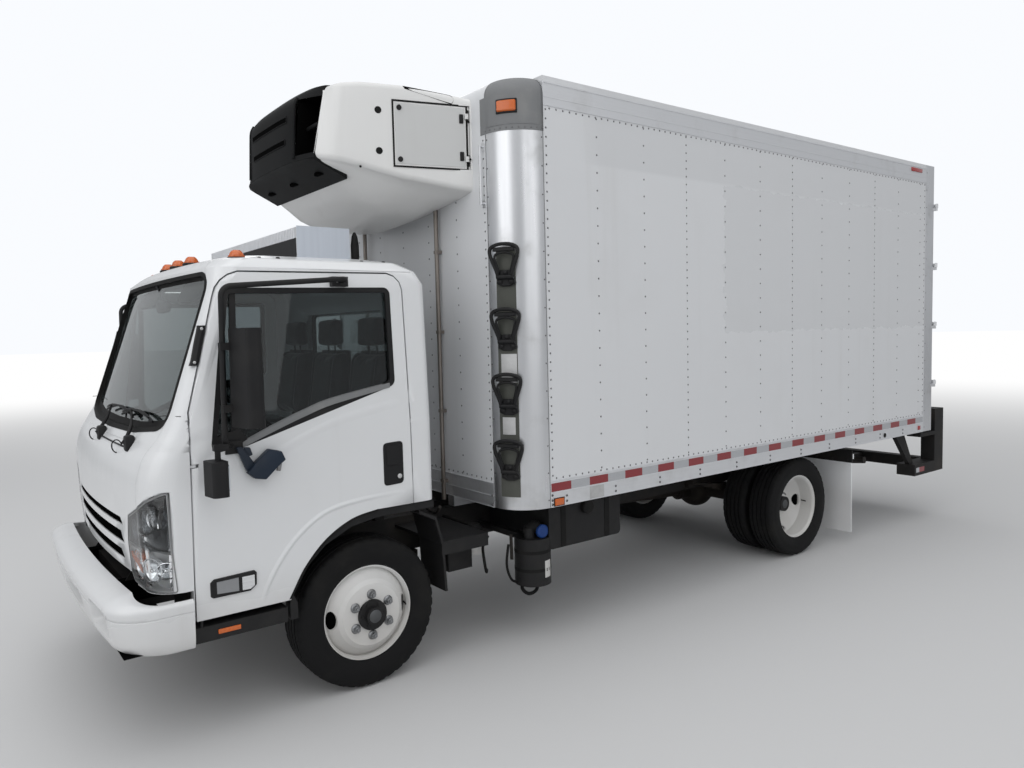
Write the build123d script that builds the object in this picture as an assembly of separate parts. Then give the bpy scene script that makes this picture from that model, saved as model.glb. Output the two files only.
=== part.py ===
from build123d import *
import math
import os

# Refrigerated box truck with a tilting cab over the front axle, twin rear wheels,
# an insulated body and a cooling unit on the body's front wall.
# Millimetres. Z is up, the front faces -Y, the driver's side is +X.
# The model is drawn with the front axle at Y = 0 and moved to its own centre at the end.

# Wheels and axles
WHEELBASE = 3810
TYRE_RADIUS = 405
TYRE_HALF_WIDTH = 113
TYRE_SHOULDER_RADIUS = 390
TYRE_TREAD_HALF_WIDTH = 88
BEAD_RADIUS = 248
FLANGE_RADIUS = 262.5
FLANGE_THICKNESS = 12
RIM_HALF_WIDTH = 89
RIM_WALL = 9
BEAD_CLEARANCE = 0.5
DISC_THICKNESS = 10
DISC_OFFSET = 127
DISC_FLAT_RADIUS = 165
DISC_ROOT = 46
HUB_RADIUS = 80
VENT_RADIUS = 211
VENT_HALF_LENGTH = 50
VENT_HALF_HEIGHT = 22
HUB_CAP_RADIUS = 46
HUB_CAP_LENGTH = 26
DRUM_RADIUS = 175
DRUM_WALL = 12
DRUM_LENGTH = 120
RUNNING_CLEARANCE = 0.05
FRONT_TRACK_HALF = 832.5
REAR_OUTER_X = 969.5
FRONT_SPINDLE_RADIUS = 30
REAR_SPINDLE_RADIUS = 45
KINGPIN_X = 745
KINGPIN_RADIUS = 14
EYE_RADIUS = 32
EYE_HEIGHT = 90
EAR_THICKNESS = 26
BACKING_PLATE_RADIUS = 150
BACKING_PLATE_THICKNESS = 8
BEAM_DROP = 60
BEAM_WIDTH = 60
BEAM_HEIGHT = 70
AXLE_TUBE_RADIUS = 58
DIFFERENTIAL_RADIUS = 165
AXLE_NOSE = 260
GEARBOX_END = 820

# Chassis frame
RAIL_OUTER_X = 425.5
RAIL_FLANGE = 70
RAIL_TOP = 760
RAIL_HEIGHT = 220
RAIL_WALL = 8
FRAME_FRONT = -1085
FRAME_REAR = 5640
TOW_Y = -1140
TOW_Z = 460
TOW_RADIUS = 20
SPRING_WIDTH = 70
SADDLE_HEIGHT = 64
LEAF_THICKNESS = 14
FRONT_SPRING_X = 430
REAR_SPRING_X = 492

# Front bumper
BUMPER_FRONT = -1290
BUMPER_HALF_WIDTH = 1045
BUMPER_END = -916
BUMPER_TOP = 760
BUMPER_WALL = 26
BUMPER_SHELF_REAR = -1165

# Cab
CAB_WALL = 60
CAB_FRONT_LIP = 800
CAB_LAMP_LIP = 748
CAB_REAR = 392
CAB_FLOOR_Z = 950
FLOOR_THICKNESS = 34
CAB_REAR_CORNER = 50
DOOR_GAP = 8
DOOR_BOTTOM = 574
DOOR_AXIS_X = 988
DOOR_AXIS_BACK = 22
DOOR_PIN_RADIUS = 7
GLASS_THICKNESS = 5
GLASS_INSET = 22
SILL_DEPTH = 72
TILT_Y = -1010
TILT_Z = 800
TILT_PIN_RADIUS = 15
TILT_BRACKET_FRONT = 26
TILT_BOSS_RADIUS = 30
TILT_ARM_WIDTH = 30
SEAT_GAP = 0.3

# Body
BODY_HALF_WIDTH = 1219
BODY_FRONT = 807
BODY_REAR = 5780
BODY_BOTTOM = 859
BODY_TOP = 3330
CORNER_RADIUS = 235
WALL = 75
SKIN_STEP = 2.5
BOTTOM_RAIL_TOP = 1017
TOP_RAIL_BOTTOM = BODY_TOP - 165
TOP_RAIL_TOP = BODY_TOP - 32
RAIL_DEPTH = 69
FLOOR_TOP = 1060
FLOOR_BOTTOM = 930
CROSS_PITCH = 406.4
CAP_BOTTOM = BODY_TOP - 310
ROOF_THICKNESS = 100
POST_DEPTH = 155
POST_WIDTH = 81
HEADER_BOTTOM = BODY_TOP - 210
SILL_TOP = 1050
PLATE_SPACING = 178
PLATE_HOLE_RADIUS = 3.5
PLATE_Z = 925
REAR_DOOR_THICKNESS = 75
REAR_DOOR_RECESS = 5
REAR_DOOR_GAP = 8
REAR_CENTRE_GAP = 12
REAR_AXIS_OUT = 16
REAR_AXIS_BACK = 20
HINGE_PIN_RADIUS = 7
HINGE_KNUCKLE_RADIUS = 14

# Cooling unit
UNIT_HALF_WIDTH = 850
UNIT_SHOULDER_Y = 800
UNIT_TOP = 3328
UNIT_TOP_EDGE = 3288
UNIT_DOOR_GAP = 6
UNIT_DOOR_THICKNESS = 28
UNIT_DOOR_POCKET = 38

# Rear bumper
GUARD_REAR = 6100
GUARD_FRONT = 5530
GUARD_BOTTOM = 440
GUARD_TOP = 545
GUARD_HALF_WIDTH = 1190

CENTRE_Y = (BUMPER_FRONT + GUARD_REAR) / 2
BODY_SKIN_X = BODY_HALF_WIDTH - SKIN_STEP
BODY_CORNER_Y = BODY_FRONT + CORNER_RADIUS
BODY_CORNER_X = BODY_HALF_WIDTH - CORNER_RADIUS
POST_FRONT = BODY_REAR - POST_DEPTH
BODY_INNER_X = BODY_SKIN_X - WALL
RAIL_BOTTOM = RAIL_TOP - RAIL_HEIGHT
REAR_INNER_X = REAR_OUTER_X - 2 * DISC_OFFSET
REAR_MOUNT_X = REAR_OUTER_X - DISC_OFFSET
DOOR_FRONT = -897

nodes = {}


def block(x0, x1, y0, y1, z0, z1):
    """A box between two corners."""
    return Pos((x0 + x1) / 2, (y0 + y1) / 2, (z0 + z1) / 2) * Box(x1 - x0, y1 - y0, z1 - z0)


def rod_x(radius, x0, x1, y, z):
    return Pos((x0 + x1) / 2, y, z) * Rot(0, 90, 0) * Cylinder(radius, x1 - x0)


def rod_y(radius, y0, y1, x, z):
    return Pos(x, (y0 + y1) / 2, z) * Rot(90, 0, 0) * Cylinder(radius, y1 - y0)


def rod_z(radius, z0, z1, x, y):
    return Pos(x, y, (z0 + z1) / 2) * Cylinder(radius, z1 - z0)


def side_prism(points, x0, x1, radius=0):
    """An outline of (y, z) points, carried along X."""
    corners = [(x0, y, z) for y, z in points]
    return prism(corners, (1, 0, 0), x1 - x0, radius)


def front_prism(points, y0, y1, radius=0):
    """An outline of (x, z) points, carried along Y."""
    corners = [(x, y0, z) for x, z in points]
    return prism(corners, (0, 1, 0), y1 - y0, radius)


def plan_prism(points, z0, z1, radius=0):
    """An outline of (x, y) points, carried along Z."""
    corners = [(x, y, z0) for x, y in points]
    return prism(corners, (0, 0, 1), z1 - z0, radius)


def prism(corners, direction, length, radius):
    if radius:
        outline = FilletPolyline(*corners, radius=radius, close=True)
    else:
        outline = Polyline(*corners, close=True)
    return extrude(make_face(outline), amount=length, dir=direction)


def turned(profile, x=0, y=0, z=0):
    """A closed profile of (axial, radial) points, spun about an axis along X."""
    corners = [(axial, radial, 0) for axial, radial in profile]
    return Pos(x, y, z) * revolve(make_face(Polyline(*corners, close=True)), axis=Axis.X)


def joined(pieces):
    """Fuses what touches and gives one shape."""
    result = pieces[0]
    for piece in pieces[1:]:
        result = result + piece
    return result


def flip(shape):
    """The same piece on the other side of the centre plane."""
    return mirror(shape, about=Plane.YZ)


def both(shape):
    return [shape, flip(shape)]


def keep(name, *shapes):
    """Files every solid of a node."""
    solids = []
    for shape in shapes:
        solids.extend(shape.solids())
    nodes.setdefault(name, []).extend(solids)


# Wheels: profiles are (distance outwards from the wheel's middle plane, radius)
def tyre_profile():
    inner = RIM_HALF_WIDTH - FLANGE_THICKNESS - BEAD_CLEARANCE
    half = [
        (inner, BEAD_RADIUS),
        (inner, FLANGE_RADIUS + 6),
        (TYRE_HALF_WIDTH, FLANGE_RADIUS + 62),
        (TYRE_HALF_WIDTH - 8, TYRE_SHOULDER_RADIUS - 22),
        (TYRE_TREAD_HALF_WIDTH + 10, TYRE_SHOULDER_RADIUS + 4),
        (TYRE_TREAD_HALF_WIDTH, TYRE_RADIUS),
    ]
    return half + [(-axial, radial) for axial, radial in reversed(half)]


def barrel_profile():
    outer = BEAD_RADIUS - BEAD_CLEARANCE
    lip = RIM_HALF_WIDTH - FLANGE_THICKNESS
    half = [
        (lip, outer),
        (lip, FLANGE_RADIUS),
        (RIM_HALF_WIDTH, FLANGE_RADIUS),
        (RIM_HALF_WIDTH, BEAD_RADIUS + 2),
        (lip - 8, outer - RIM_WALL),
    ]
    return [(a, r) for a, r in half] + [(-a, r) for a, r in reversed(half)]


def disc_profile(side):
    """The pressed disc, dished towards side, which is +1 outwards or -1 inwards."""
    root = BEAD_RADIUS - RIM_WALL
    face = DISC_OFFSET
    back = DISC_OFFSET - DISC_THICKNESS
    points = [
        (DISC_ROOT - DISC_THICKNESS, root),
        (DISC_ROOT, root),
        (face - 16, DISC_FLAT_RADIUS + 22),
        (face, DISC_FLAT_RADIUS),
        (face, HUB_RADIUS),
        (back, HUB_RADIUS),
        (back, DISC_FLAT_RADIUS - 6),
        (back - 16, DISC_FLAT_RADIUS + 14),
    ]
    return [(side * axial, radial) for axial, radial in points]


def vents(angles):
    """Long oval holes through a disc, at these angles from +Y."""
    oval = extrude(Plane.YZ * Ellipse(VENT_HALF_HEIGHT, VENT_HALF_LENGTH), amount=200, both=True)
    return joined([Rot(angle, 0, 0) * Pos(0, VENT_RADIUS, 0) * oval for angle in angles])


def rim(x, side, angles):
    disc = turned(disc_profile(side)) - vents(angles)
    return Pos(x, 0, 0) * (turned(barrel_profile()) + disc)


def drum(x_closed, x_open):
    """A brake drum, closed at its outer end, open towards the axle."""
    profile = [
        (x_open, DRUM_RADIUS - DRUM_WALL),
        (x_open, DRUM_RADIUS),
        (x_closed, DRUM_RADIUS),
        (x_closed, HUB_RADIUS - 2),
        (x_closed - DRUM_WALL, HUB_RADIUS - 2),
        (x_closed - DRUM_WALL, DRUM_RADIUS - DRUM_WALL),
    ]
    return turned(profile)


def front_wheel():
    mount = FRONT_TRACK_HALF + DISC_OFFSET
    drum_face = mount - DISC_THICKNESS
    hub_inner = drum_face - DRUM_LENGTH + 20
    hub = rod_x(HUB_RADIUS, hub_inner, mount + 14, 0, 0)
    cap = rod_x(HUB_CAP_RADIUS, mount + 14, mount + 14 + HUB_CAP_LENGTH, 0, 0)
    bore = rod_x(FRONT_SPINDLE_RADIUS + RUNNING_CLEARANCE, hub_inner - 1, mount - 20, 0, 0)
    metal = rim(FRONT_TRACK_HALF, 1, (0, 180)) + drum(drum_face, drum_face - DRUM_LENGTH) + hub + cap - bore
    rubber = turned(tyre_profile(), FRONT_TRACK_HALF)
    return rubber, metal


def rear_wheels():
    hub_inner = REAR_MOUNT_X - 90
    hub = rod_x(HUB_RADIUS, hub_inner, REAR_MOUNT_X + 70, 0, 0)
    cap = rod_x(HUB_CAP_RADIUS + 14, REAR_MOUNT_X + 70, REAR_MOUNT_X + 100, 0, 0)
    bore = rod_x(REAR_SPINDLE_RADIUS + RUNNING_CLEARANCE, hub_inner - 1, REAR_MOUNT_X + 40, 0, 0)
    metal = rim(REAR_OUTER_X, -1, (0, 90, 180, 270)) + rim(REAR_INNER_X, 1, (0, 90, 180, 270))
    drum_face = REAR_MOUNT_X - DISC_THICKNESS
    metal = metal + drum(drum_face, drum_face - DRUM_LENGTH) + hub + cap - bore
    rubber = [turned(tyre_profile(), x) for x in (REAR_OUTER_X, REAR_INNER_X)]
    return rubber, metal


def wheels():
    rubber, metal = front_wheel()
    lift = Pos(0, 0, TYRE_RADIUS)
    keep("front_left_tyre", lift * rubber)
    keep("front_left_rim", lift * metal)
    keep("front_right_tyre", lift * flip(rubber))
    keep("front_right_rim", lift * flip(metal))
    rubbers, metal = rear_wheels()
    lift = Pos(0, WHEELBASE, TYRE_RADIUS)
    keep("rear_left_tyres", *[lift * piece for piece in rubbers])
    keep("rear_left_rims", lift * metal)
    keep("rear_right_tyres", *[lift * flip(piece) for piece in rubbers])
    keep("rear_right_rims", lift * flip(metal))


# Axles
def front_axle():
    low = TYRE_RADIUS - EYE_HEIGHT / 2
    high = TYRE_RADIUS + EYE_HEIGHT / 2
    bore = rod_z(KINGPIN_RADIUS + RUNNING_CLEARANCE, low - 1, high + 1, KINGPIN_X, 0)
    eye = rod_z(EYE_RADIUS, low, high, KINGPIN_X, 0) - bore
    half = [
        (0, TYRE_RADIUS - BEAM_DROP - BEAM_HEIGHT / 2),
        (520, TYRE_RADIUS - BEAM_DROP - BEAM_HEIGHT / 2),
        (KINGPIN_X - EYE_RADIUS + 6, TYRE_RADIUS - BEAM_HEIGHT / 2),
        (KINGPIN_X - EYE_RADIUS + 6, TYRE_RADIUS + BEAM_HEIGHT / 2),
        (500, TYRE_RADIUS - BEAM_DROP + BEAM_HEIGHT / 2),
        (0, TYRE_RADIUS - BEAM_DROP + BEAM_HEIGHT / 2),
    ]
    beam = front_prism(half, -BEAM_WIDTH / 2, BEAM_WIDTH / 2)
    groove = front_prism(
        [
            (0, TYRE_RADIUS - BEAM_DROP - 18),
            (520, TYRE_RADIUS - BEAM_DROP - 18),
            (650, TYRE_RADIUS - 40),
            (640, TYRE_RADIUS + 2),
            (500, TYRE_RADIUS - BEAM_DROP + 18),
            (0, TYRE_RADIUS - BEAM_DROP + 18),
        ],
        BEAM_WIDTH / 2 - 22,
        BEAM_WIDTH / 2,
    )
    beam = beam - groove - mirror(groove, about=Plane.XZ)
    half_axle = beam + eye
    keep("front_axle", half_axle + flip(half_axle))
    mount = FRONT_TRACK_HALF + DISC_OFFSET
    web_x = KINGPIN_X + EYE_RADIUS + 8
    plate_x = mount - DISC_THICKNESS - DRUM_LENGTH - BACKING_PLATE_THICKNESS
    gap = 0.3
    pieces = [
        block(KINGPIN_X - EYE_RADIUS, web_x + 16, -44, 44, low - EAR_THICKNESS, low - gap),
        block(KINGPIN_X - EYE_RADIUS, web_x + 16, -44, 44, high + gap, high + EAR_THICKNESS),
        block(web_x, web_x + 16, -44, 44, low - EAR_THICKNESS, high + EAR_THICKNESS),
        rod_z(KINGPIN_RADIUS, low - EAR_THICKNESS, high + EAR_THICKNESS, KINGPIN_X, 0),
        rod_x(FRONT_SPINDLE_RADIUS, web_x, mount - 30, 0, TYRE_RADIUS),
        rod_x(BACKING_PLATE_RADIUS, plate_x, plate_x + BACKING_PLATE_THICKNESS, 0, TYRE_RADIUS),
    ]
    knuckle = joined(pieces)
    keep("left_knuckle", knuckle)
    keep("right_knuckle", flip(knuckle))


def rear_axle():
    plate_x = REAR_MOUNT_X - DISC_THICKNESS - DRUM_LENGTH - BACKING_PLATE_THICKNESS
    housing = joined(
        [
            rod_x(AXLE_TUBE_RADIUS, -plate_x, plate_x, 0, 0),
            rod_x(REAR_SPINDLE_RADIUS, -REAR_MOUNT_X - 30, REAR_MOUNT_X + 30, 0, 0),
            rod_x(BACKING_PLATE_RADIUS, plate_x, plate_x + BACKING_PLATE_THICKNESS, 0, 0),
            rod_x(BACKING_PLATE_RADIUS, -plate_x - BACKING_PLATE_THICKNESS, -plate_x, 0, 0),
            rod_x(DIFFERENTIAL_RADIUS - 55, -110, 110, 0, 0),
            Sphere(DIFFERENTIAL_RADIUS),
            rod_y(75, -AXLE_NOSE, 0, 0, 0),
            block(REAR_SPRING_X - 35, REAR_SPRING_X + 35, -50, 50, 30, SADDLE_HEIGHT),
            block(-REAR_SPRING_X - 35, -REAR_SPRING_X + 35, -50, 50, 30, SADDLE_HEIGHT),
        ]
    )
    keep("rear_axle", Pos(0, WHEELBASE, TYRE_RADIUS) * housing)


def leaf_pack(y, seat_z, reach, rise, leaves):
    """Stacked leaves in side view, longest on top, each following the one above."""
    knee = reach / 2

    def height(distance):
        if distance <= knee:
            return rise * 0.3 * distance / knee
        return rise * (0.3 + 0.7 * (distance - knee) / knee)

    pieces = []
    for number in range(leaves):
        half = reach * (1 - 0.17 * number)
        top = seat_z + (leaves - number) * LEAF_THICKNESS
        marks = [half, knee, 0, knee, half] if half > knee else [half, 0, half]
        signs = [-1, -1, 1, 1, 1] if half > knee else [-1, 1, 1]
        outline = [(y + sign * mark, top + height(mark)) for sign, mark in zip(signs, marks)]
        under = [(py, pz - LEAF_THICKNESS) for py, pz in reversed(outline)]
        pieces.append(side_prism(outline + under, -SPRING_WIDTH / 2, SPRING_WIDTH / 2))
    return joined(pieces)


def springs():
    front_seat = TYRE_RADIUS - BEAM_DROP + BEAM_HEIGHT / 2
    rear_seat = TYRE_RADIUS + SADDLE_HEIGHT
    front = leaf_pack(0, front_seat, 560, 60, 4)
    rear = leaf_pack(WHEELBASE, rear_seat, 640, 70, 5)
    # Hangers tie each spring's ends to the rail above it.
    front_top = front_seat + 4 * LEAF_THICKNESS
    rear_top = rear_seat + 5 * LEAF_THICKNESS
    for y in (-545, 545):
        front = front + block(-32, 32, y - 30, y + 30, front_top + 50, RAIL_BOTTOM)
    for y in (WHEELBASE - 620, WHEELBASE + 620):
        rear = rear + block(-32, 20, y - 30, y + 30, rear_top + 55, RAIL_BOTTOM + 90)
        web_side = RAIL_OUTER_X - REAR_SPRING_X
        rear = rear + block(web_side, -20, y - 30, y + 30, RAIL_BOTTOM + 20, RAIL_BOTTOM + 90)
    keep("leaf_springs", *both(Pos(FRONT_SPRING_X, 0, 0) * front), *both(Pos(REAR_SPRING_X, 0, 0) * rear))


# Chassis frame, driveline and what hangs on the rails
def chassis_frame():
    outer = RAIL_OUTER_X
    rail = block(outer - RAIL_FLANGE, outer, FRAME_FRONT, FRAME_REAR, RAIL_BOTTOM, RAIL_TOP)
    hollow = block(
        outer - RAIL_FLANGE - 1,
        outer - RAIL_WALL,
        FRAME_FRONT - 1,
        FRAME_REAR + 1,
        RAIL_BOTTOM + RAIL_WALL,
        RAIL_TOP - RAIL_WALL,
    )
    rail = rail - hollow
    # The rails' front ends are cut down, so that the cab's front lip swings past them.
    nose_cut = [
        (FRAME_FRONT - 10, RAIL_TOP + 10),
        (FRAME_FRONT - 10, RAIL_TOP - 84),
        (FRAME_FRONT + 50, RAIL_TOP),
        (FRAME_FRONT + 57, RAIL_TOP + 10),
    ]
    rail = rail - side_prism(nose_cut, outer - RAIL_FLANGE - 1, outer + 1)
    inner = outer - RAIL_WALL
    # Cross members: (y, bottom above the rail's bottom, height)
    members = [
        (-1050, 20, 120),
        (980, 80, 110),
        (1750, 80, 110),
        (2700, 80, 110),
        (3330, 60, 120),
        (4310, 60, 120),
        (4950, 60, 120),
        (5600, 30, 160),
    ]
    pieces = [rail, flip(rail)]
    for y, up, height in members:
        pieces.append(block(-inner, inner, y - 30, y + 30, RAIL_BOTTOM + up, RAIL_BOTTOM + up + height))
    # Tilt brackets with their pins, and the rests behind the cab.
    for sign in (-1, 1):
        for x0, x1 in ((362, 378), (412, 425)):
            lo, hi = sorted((sign * x0, sign * x1))
            pieces.append(block(lo, hi, TILT_Y - TILT_BRACKET_FRONT, TILT_Y + 36, RAIL_TOP, TILT_Z + 26))
        lo, hi = sorted((sign * 362, sign * 425))
        pieces.append(rod_x(TILT_PIN_RADIUS, lo, hi, TILT_Y, TILT_Z))
        lo, hi = sorted((sign * 358, sign * 424))
        pieces.append(block(lo, hi, 310, 370, RAIL_TOP, CAB_FLOOR_Z - SEAT_GAP))
    # Tow lugs under the rails' front ends
    for sign in (-1, 1):
        lug = block(382, 398, TOW_Y - 40, FRAME_FRONT + 40, TOW_Z - 44, RAIL_BOTTOM + RAIL_WALL)
        lug = lug - rod_x(TOW_RADIUS, 380, 400, TOW_Y, TOW_Z)
        pieces.append(lug if sign > 0 else flip(lug))
    keep("chassis_frame", joined(pieces))
    # The engine's arms reach the rails' webs.
    mount_x = inner - SEAT_GAP
    engine = joined(
        [
            block(-270, 270, -560, 330, 450, 1040),
            block(-180, 180, 330, GEARBOX_END, 470, 800),
            block(-mount_x, mount_x, -330, -250, 560, 620),
            block(-mount_x, mount_x, 180, 260, 560, 620),
        ]
    )
    keep("engine", engine)
    shaft_start = (0, GEARBOX_END + 4, 560)
    shaft_end = (0, WHEELBASE - AXLE_NOSE - 4, TYRE_RADIUS + 8)
    path = Line(shaft_start, shaft_end)
    shaft = sweep(Plane(origin=path @ 0, z_dir=path % 0) * Circle(48), path=path)
    shaft = shaft + rod_y(60, GEARBOX_END + SEAT_GAP, GEARBOX_END + 15, 0, 560)
    shaft = shaft + rod_y(60, WHEELBASE - AXLE_NOSE - 15, WHEELBASE - AXLE_NOSE - SEAT_GAP, 0, TYRE_RADIUS)
    keep("propeller_shaft", shaft)


# Bumper sections: (height, front at the middle, front at the corners, half width)
BUMPER_SECTIONS = [
    (488, -1215, -1180, 1022),
    (560, -1268, -1240, 1040),
    (700, BUMPER_FRONT, -1262, BUMPER_HALF_WIDTH),
    (735, BUMPER_FRONT + 26, -1238, BUMPER_HALF_WIDTH - 20),
    (BUMPER_TOP, -1215, -1185, BUMPER_HALF_WIDTH - 90),
]


def bumper_section(z, front_mid, front_edge, half, inset):
    half = half - inset
    front_mid = front_mid + inset
    front_edge = front_edge + inset
    x1 = half - 200 + inset
    y1 = front_edge + 190 - inset
    bend = (half - 0.293 * (half - x1), front_edge + 0.293 * (y1 - front_edge))
    end = BUMPER_END + (1 if inset else 0)
    edges = [
        ThreePointArc((-x1, front_edge), (0, front_mid), (x1, front_edge)),
        ThreePointArc((x1, front_edge), bend, (half, y1)),
        Line((half, y1), (half, end)),
        Line((half, end), (-half, end)),
        Line((-half, end), (-half, y1)),
        ThreePointArc((-half, y1), (-bend[0], bend[1]), (-x1, front_edge)),
    ]
    return Pos(0, 0, z) * make_face(edges)


def front_bumper():
    outer = loft([bumper_section(*row, 0) for row in BUMPER_SECTIONS], ruled=True)
    drops = [1, 0, 0, BUMPER_WALL * 0.6, BUMPER_WALL * 0.6]
    lowered = [(row[0] - drop, *row[1:]) for row, drop in zip(BUMPER_SECTIONS, drops)]
    inner = loft([bumper_section(*row, BUMPER_WALL) for row in lowered], ruled=True)
    shell = outer - inner
    # The top is a shelf in front of the cab and open behind it.
    well = plan_prism(
        [
            (-1019, BUMPER_END + 10),
            (-1019, -1010),
            (-900, BUMPER_SHELF_REAR + 40),
            (-700, BUMPER_SHELF_REAR),
            (700, BUMPER_SHELF_REAR),
            (900, BUMPER_SHELF_REAR + 40),
            (1019, -1010),
            (1019, BUMPER_END + 10),
        ],
        600,
        900,
    )
    shell = shell - well
    lip = [(-1100, 712), (-1100, 900), (1100, 900), (1100, 712), (1000, 722), (-1000, 722)]
    shell = shell - front_prism(lip, -1000, BUMPER_END + 10)
    # Lamp recesses near the corners and an air opening in the middle
    recess_outline = [(590, 585), (590, 690), (870, 690), (870, 610), (820, 570)]
    recess = front_prism(recess_outline, -1400, -1170, 18)
    shell = shell - recess - flip(recess)
    backing = front_prism(recess_outline, -1195, -1183, 18) & outer
    collar_outline = [(576, 571), (576, 704), (884, 704), (884, 603), (826, 556)]
    collar = (front_prism(collar_outline, -1300, -1183, 18) & outer) - recess
    shell = joined([shell, collar, flip(collar), backing, flip(backing)])
    shell = shell - block(-340, 340, -1400, -1200, 575, 655)
    # Brackets back to the frame's front end
    for sign in (-1, 1):
        lo, hi = sorted((sign * 360, sign * RAIL_OUTER_X))
        reach = outer + block(-500, 500, -1220, FRAME_FRONT, 500, 720)
        shell = shell + (block(lo, hi, -1300, FRAME_FRONT, 575, 700) & reach)
    keep("front_bumper", shell)


def chassis_equipment():
    tank = side_prism([(1135, 560), (1135, 840), (1741, 840), (1741, 560)], 470, 1085, 30)
    brackets = [block(RAIL_OUTER_X, 480, y - 25, y + 25, 580, 700) for y in (1250, 1620)]
    fuel = joined([tank] + brackets)
    small = rod_z(112, 353, 640, 985, 1083)
    neck = rod_z(34, 640, 702, 1010, 1040)
    arm = block(RAIL_OUTER_X, 900, 1060, 1106, 600, 636)
    keep("side_tanks", fuel, small + neck + arm)
    muffler = rod_y(120, 1900, 2700, -600, 560)
    hang = [block(-600, -RAIL_OUTER_X, y - 15, y + 15, 600, 700) for y in (2000, 2600)]
    tail_y = WHEELBASE + 1060
    pipe_points = [
        (-600, 2690, 560),
        (-600, 2950, 560),
        (-565, 3150, 640),
        (-565, WHEELBASE + 520, 640),
        (-565, WHEELBASE + 830, 470),
        (-565, tail_y, 470),
        (650, tail_y, 470),
        (880, tail_y, 640),
        (1055, tail_y, 660),
    ]
    path = FilletPolyline(*pipe_points, radius=60)
    pipe = sweep(Plane(origin=path @ 0, z_dir=path % 0) * Circle(30), path=path)
    keep("exhaust", joined([muffler, pipe] + hang))
    flap_y = WHEELBASE + 630
    flap = block(640, 1170, flap_y, flap_y + 12, 95, 740)
    flap = flap + block(RAIL_OUTER_X, 1170, flap_y, flap_y + 40, 730, 772)
    keep("mudflaps", *both(flap))
    outside = [(470, 430), (455, 430), (440, 700), (400, 850), (300, 905)]
    inside = [(300, 920), (410, 868), (455, 700)]
    guard = side_prism(outside + inside, 720, 975)
    tread = block(RAIL_OUTER_X, 975, 440, 760, 700, 716) + block(955, 975, 440, 760, 640, 716)
    battery = block(500, 800, 590, 758, 470, 701)
    keep("step_plates", *both(joined([guard, tread, battery])))


# Cab: sections from the sill to the crown of the roof
# (height, front at the middle, front at the corners, half width, rear, corner along X, corner along Y)
CAB_SECTIONS = [
    (600, -1105, -1062, 1000, CAB_REAR, 160, 140),
    (950, -1138, -1092, 1000, CAB_REAR, 160, 140),
    (1240, -1146, -1098, 1000, CAB_REAR, 160, 140),
    (1390, -1100, -1052, 1000, CAB_REAR, 150, 125),
    (1440, -1030, -990, 999, CAB_REAR, 120, 95),
    (2160, -778, -748, 966, CAB_REAR, 110, 90),
    (2230, -775, -735, 952, CAB_REAR - 40, 130, 110),
    (2276, -722, -680, 905, CAB_REAR - 125, 150, 130),
    (2304, -590, -550, 770, CAB_REAR - 260, 160, 140),
]


def cab_section(z, front_mid, front_edge, half, rear, corner_x, corner_y, inset):
    half = half - inset
    front_mid = front_mid + inset
    front_edge = front_edge + inset
    rear = rear - inset
    corner_x = corner_x - inset
    corner_y = corner_y - inset
    back = CAB_REAR_CORNER - inset * 0.4
    x1 = half - corner_x
    y1 = front_edge + corner_y
    bend = (half - 0.293 * corner_x, front_edge + 0.293 * corner_y)
    rear_bend = (half - 0.293 * back, rear - 0.293 * back)
    edges = [
        ThreePointArc((-x1, front_edge), (0, front_mid), (x1, front_edge)),
        ThreePointArc((x1, front_edge), bend, (half, y1)),
        Line((half, y1), (half, rear - back)),
        ThreePointArc((half, rear - back), rear_bend, (half - back, rear)),
        Line((half - back, rear), (-half + back, rear)),
        ThreePointArc((-half + back, rear), (-rear_bend[0], rear_bend[1]), (-half, rear - back)),
        Line((-half, rear - back), (-half, y1)),
        ThreePointArc((-half, y1), (-bend[0], bend[1]), (-x1, front_edge)),
    ]
    return Pos(0, 0, z) * make_face(edges)


def cab_body(inset, top_drop):
    """The cab's form, inset all round, as one solid."""
    sections = []
    last = len(CAB_SECTIONS) - 1
    for number, (z, *row) in enumerate(CAB_SECTIONS):
        drop = top_drop * min(1, max(0, number - 4) / (last - 4))
        low = 40 if number == 0 and inset else 0
        sections.append(cab_section(z - drop - low, *row, inset))
    return loft(sections, ruled=True)


def arch_outline(grow):
    """The wheel arch in side view, grown outwards."""
    top = 975 + grow
    return [
        (CAB_REAR + 50, top),
        (40, top),
        (-110, 950 + grow),
        (-255, 872 + grow * 0.8),
        (-370, 755 + grow * 0.5),
        (-440, 640 + grow * 0.2),
        (-460 - grow, DOOR_BOTTOM),
        (-460 - grow, 400),
        (CAB_REAR + 50, 400),
    ]


def door_outline(gap):
    """The door in side view, grown outwards by gap on every side but the arch."""
    return [
        (DOOR_FRONT - gap, DOOR_BOTTOM - gap),
        (DOOR_FRONT + 16 - gap, 1562),
        (-738 - gap, 2086),
        (-723 - gap, 2130 + gap * 0.2),
        (-701 - gap * 0.8, 2163 + gap * 0.5),
        (-669 - gap * 0.4, 2188 + gap * 0.8),
        (-625, 2203 + gap),
        (155, 2213 + gap),
        (196 + gap * 0.3, 2200 + gap * 0.9),
        (224 + gap * 0.7, 2170 + gap * 0.6),
        (237 + gap, 2128 + gap * 0.2),
        (250 + gap, 1080),
        (250 + gap, DOOR_BOTTOM - gap),
    ]


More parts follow.
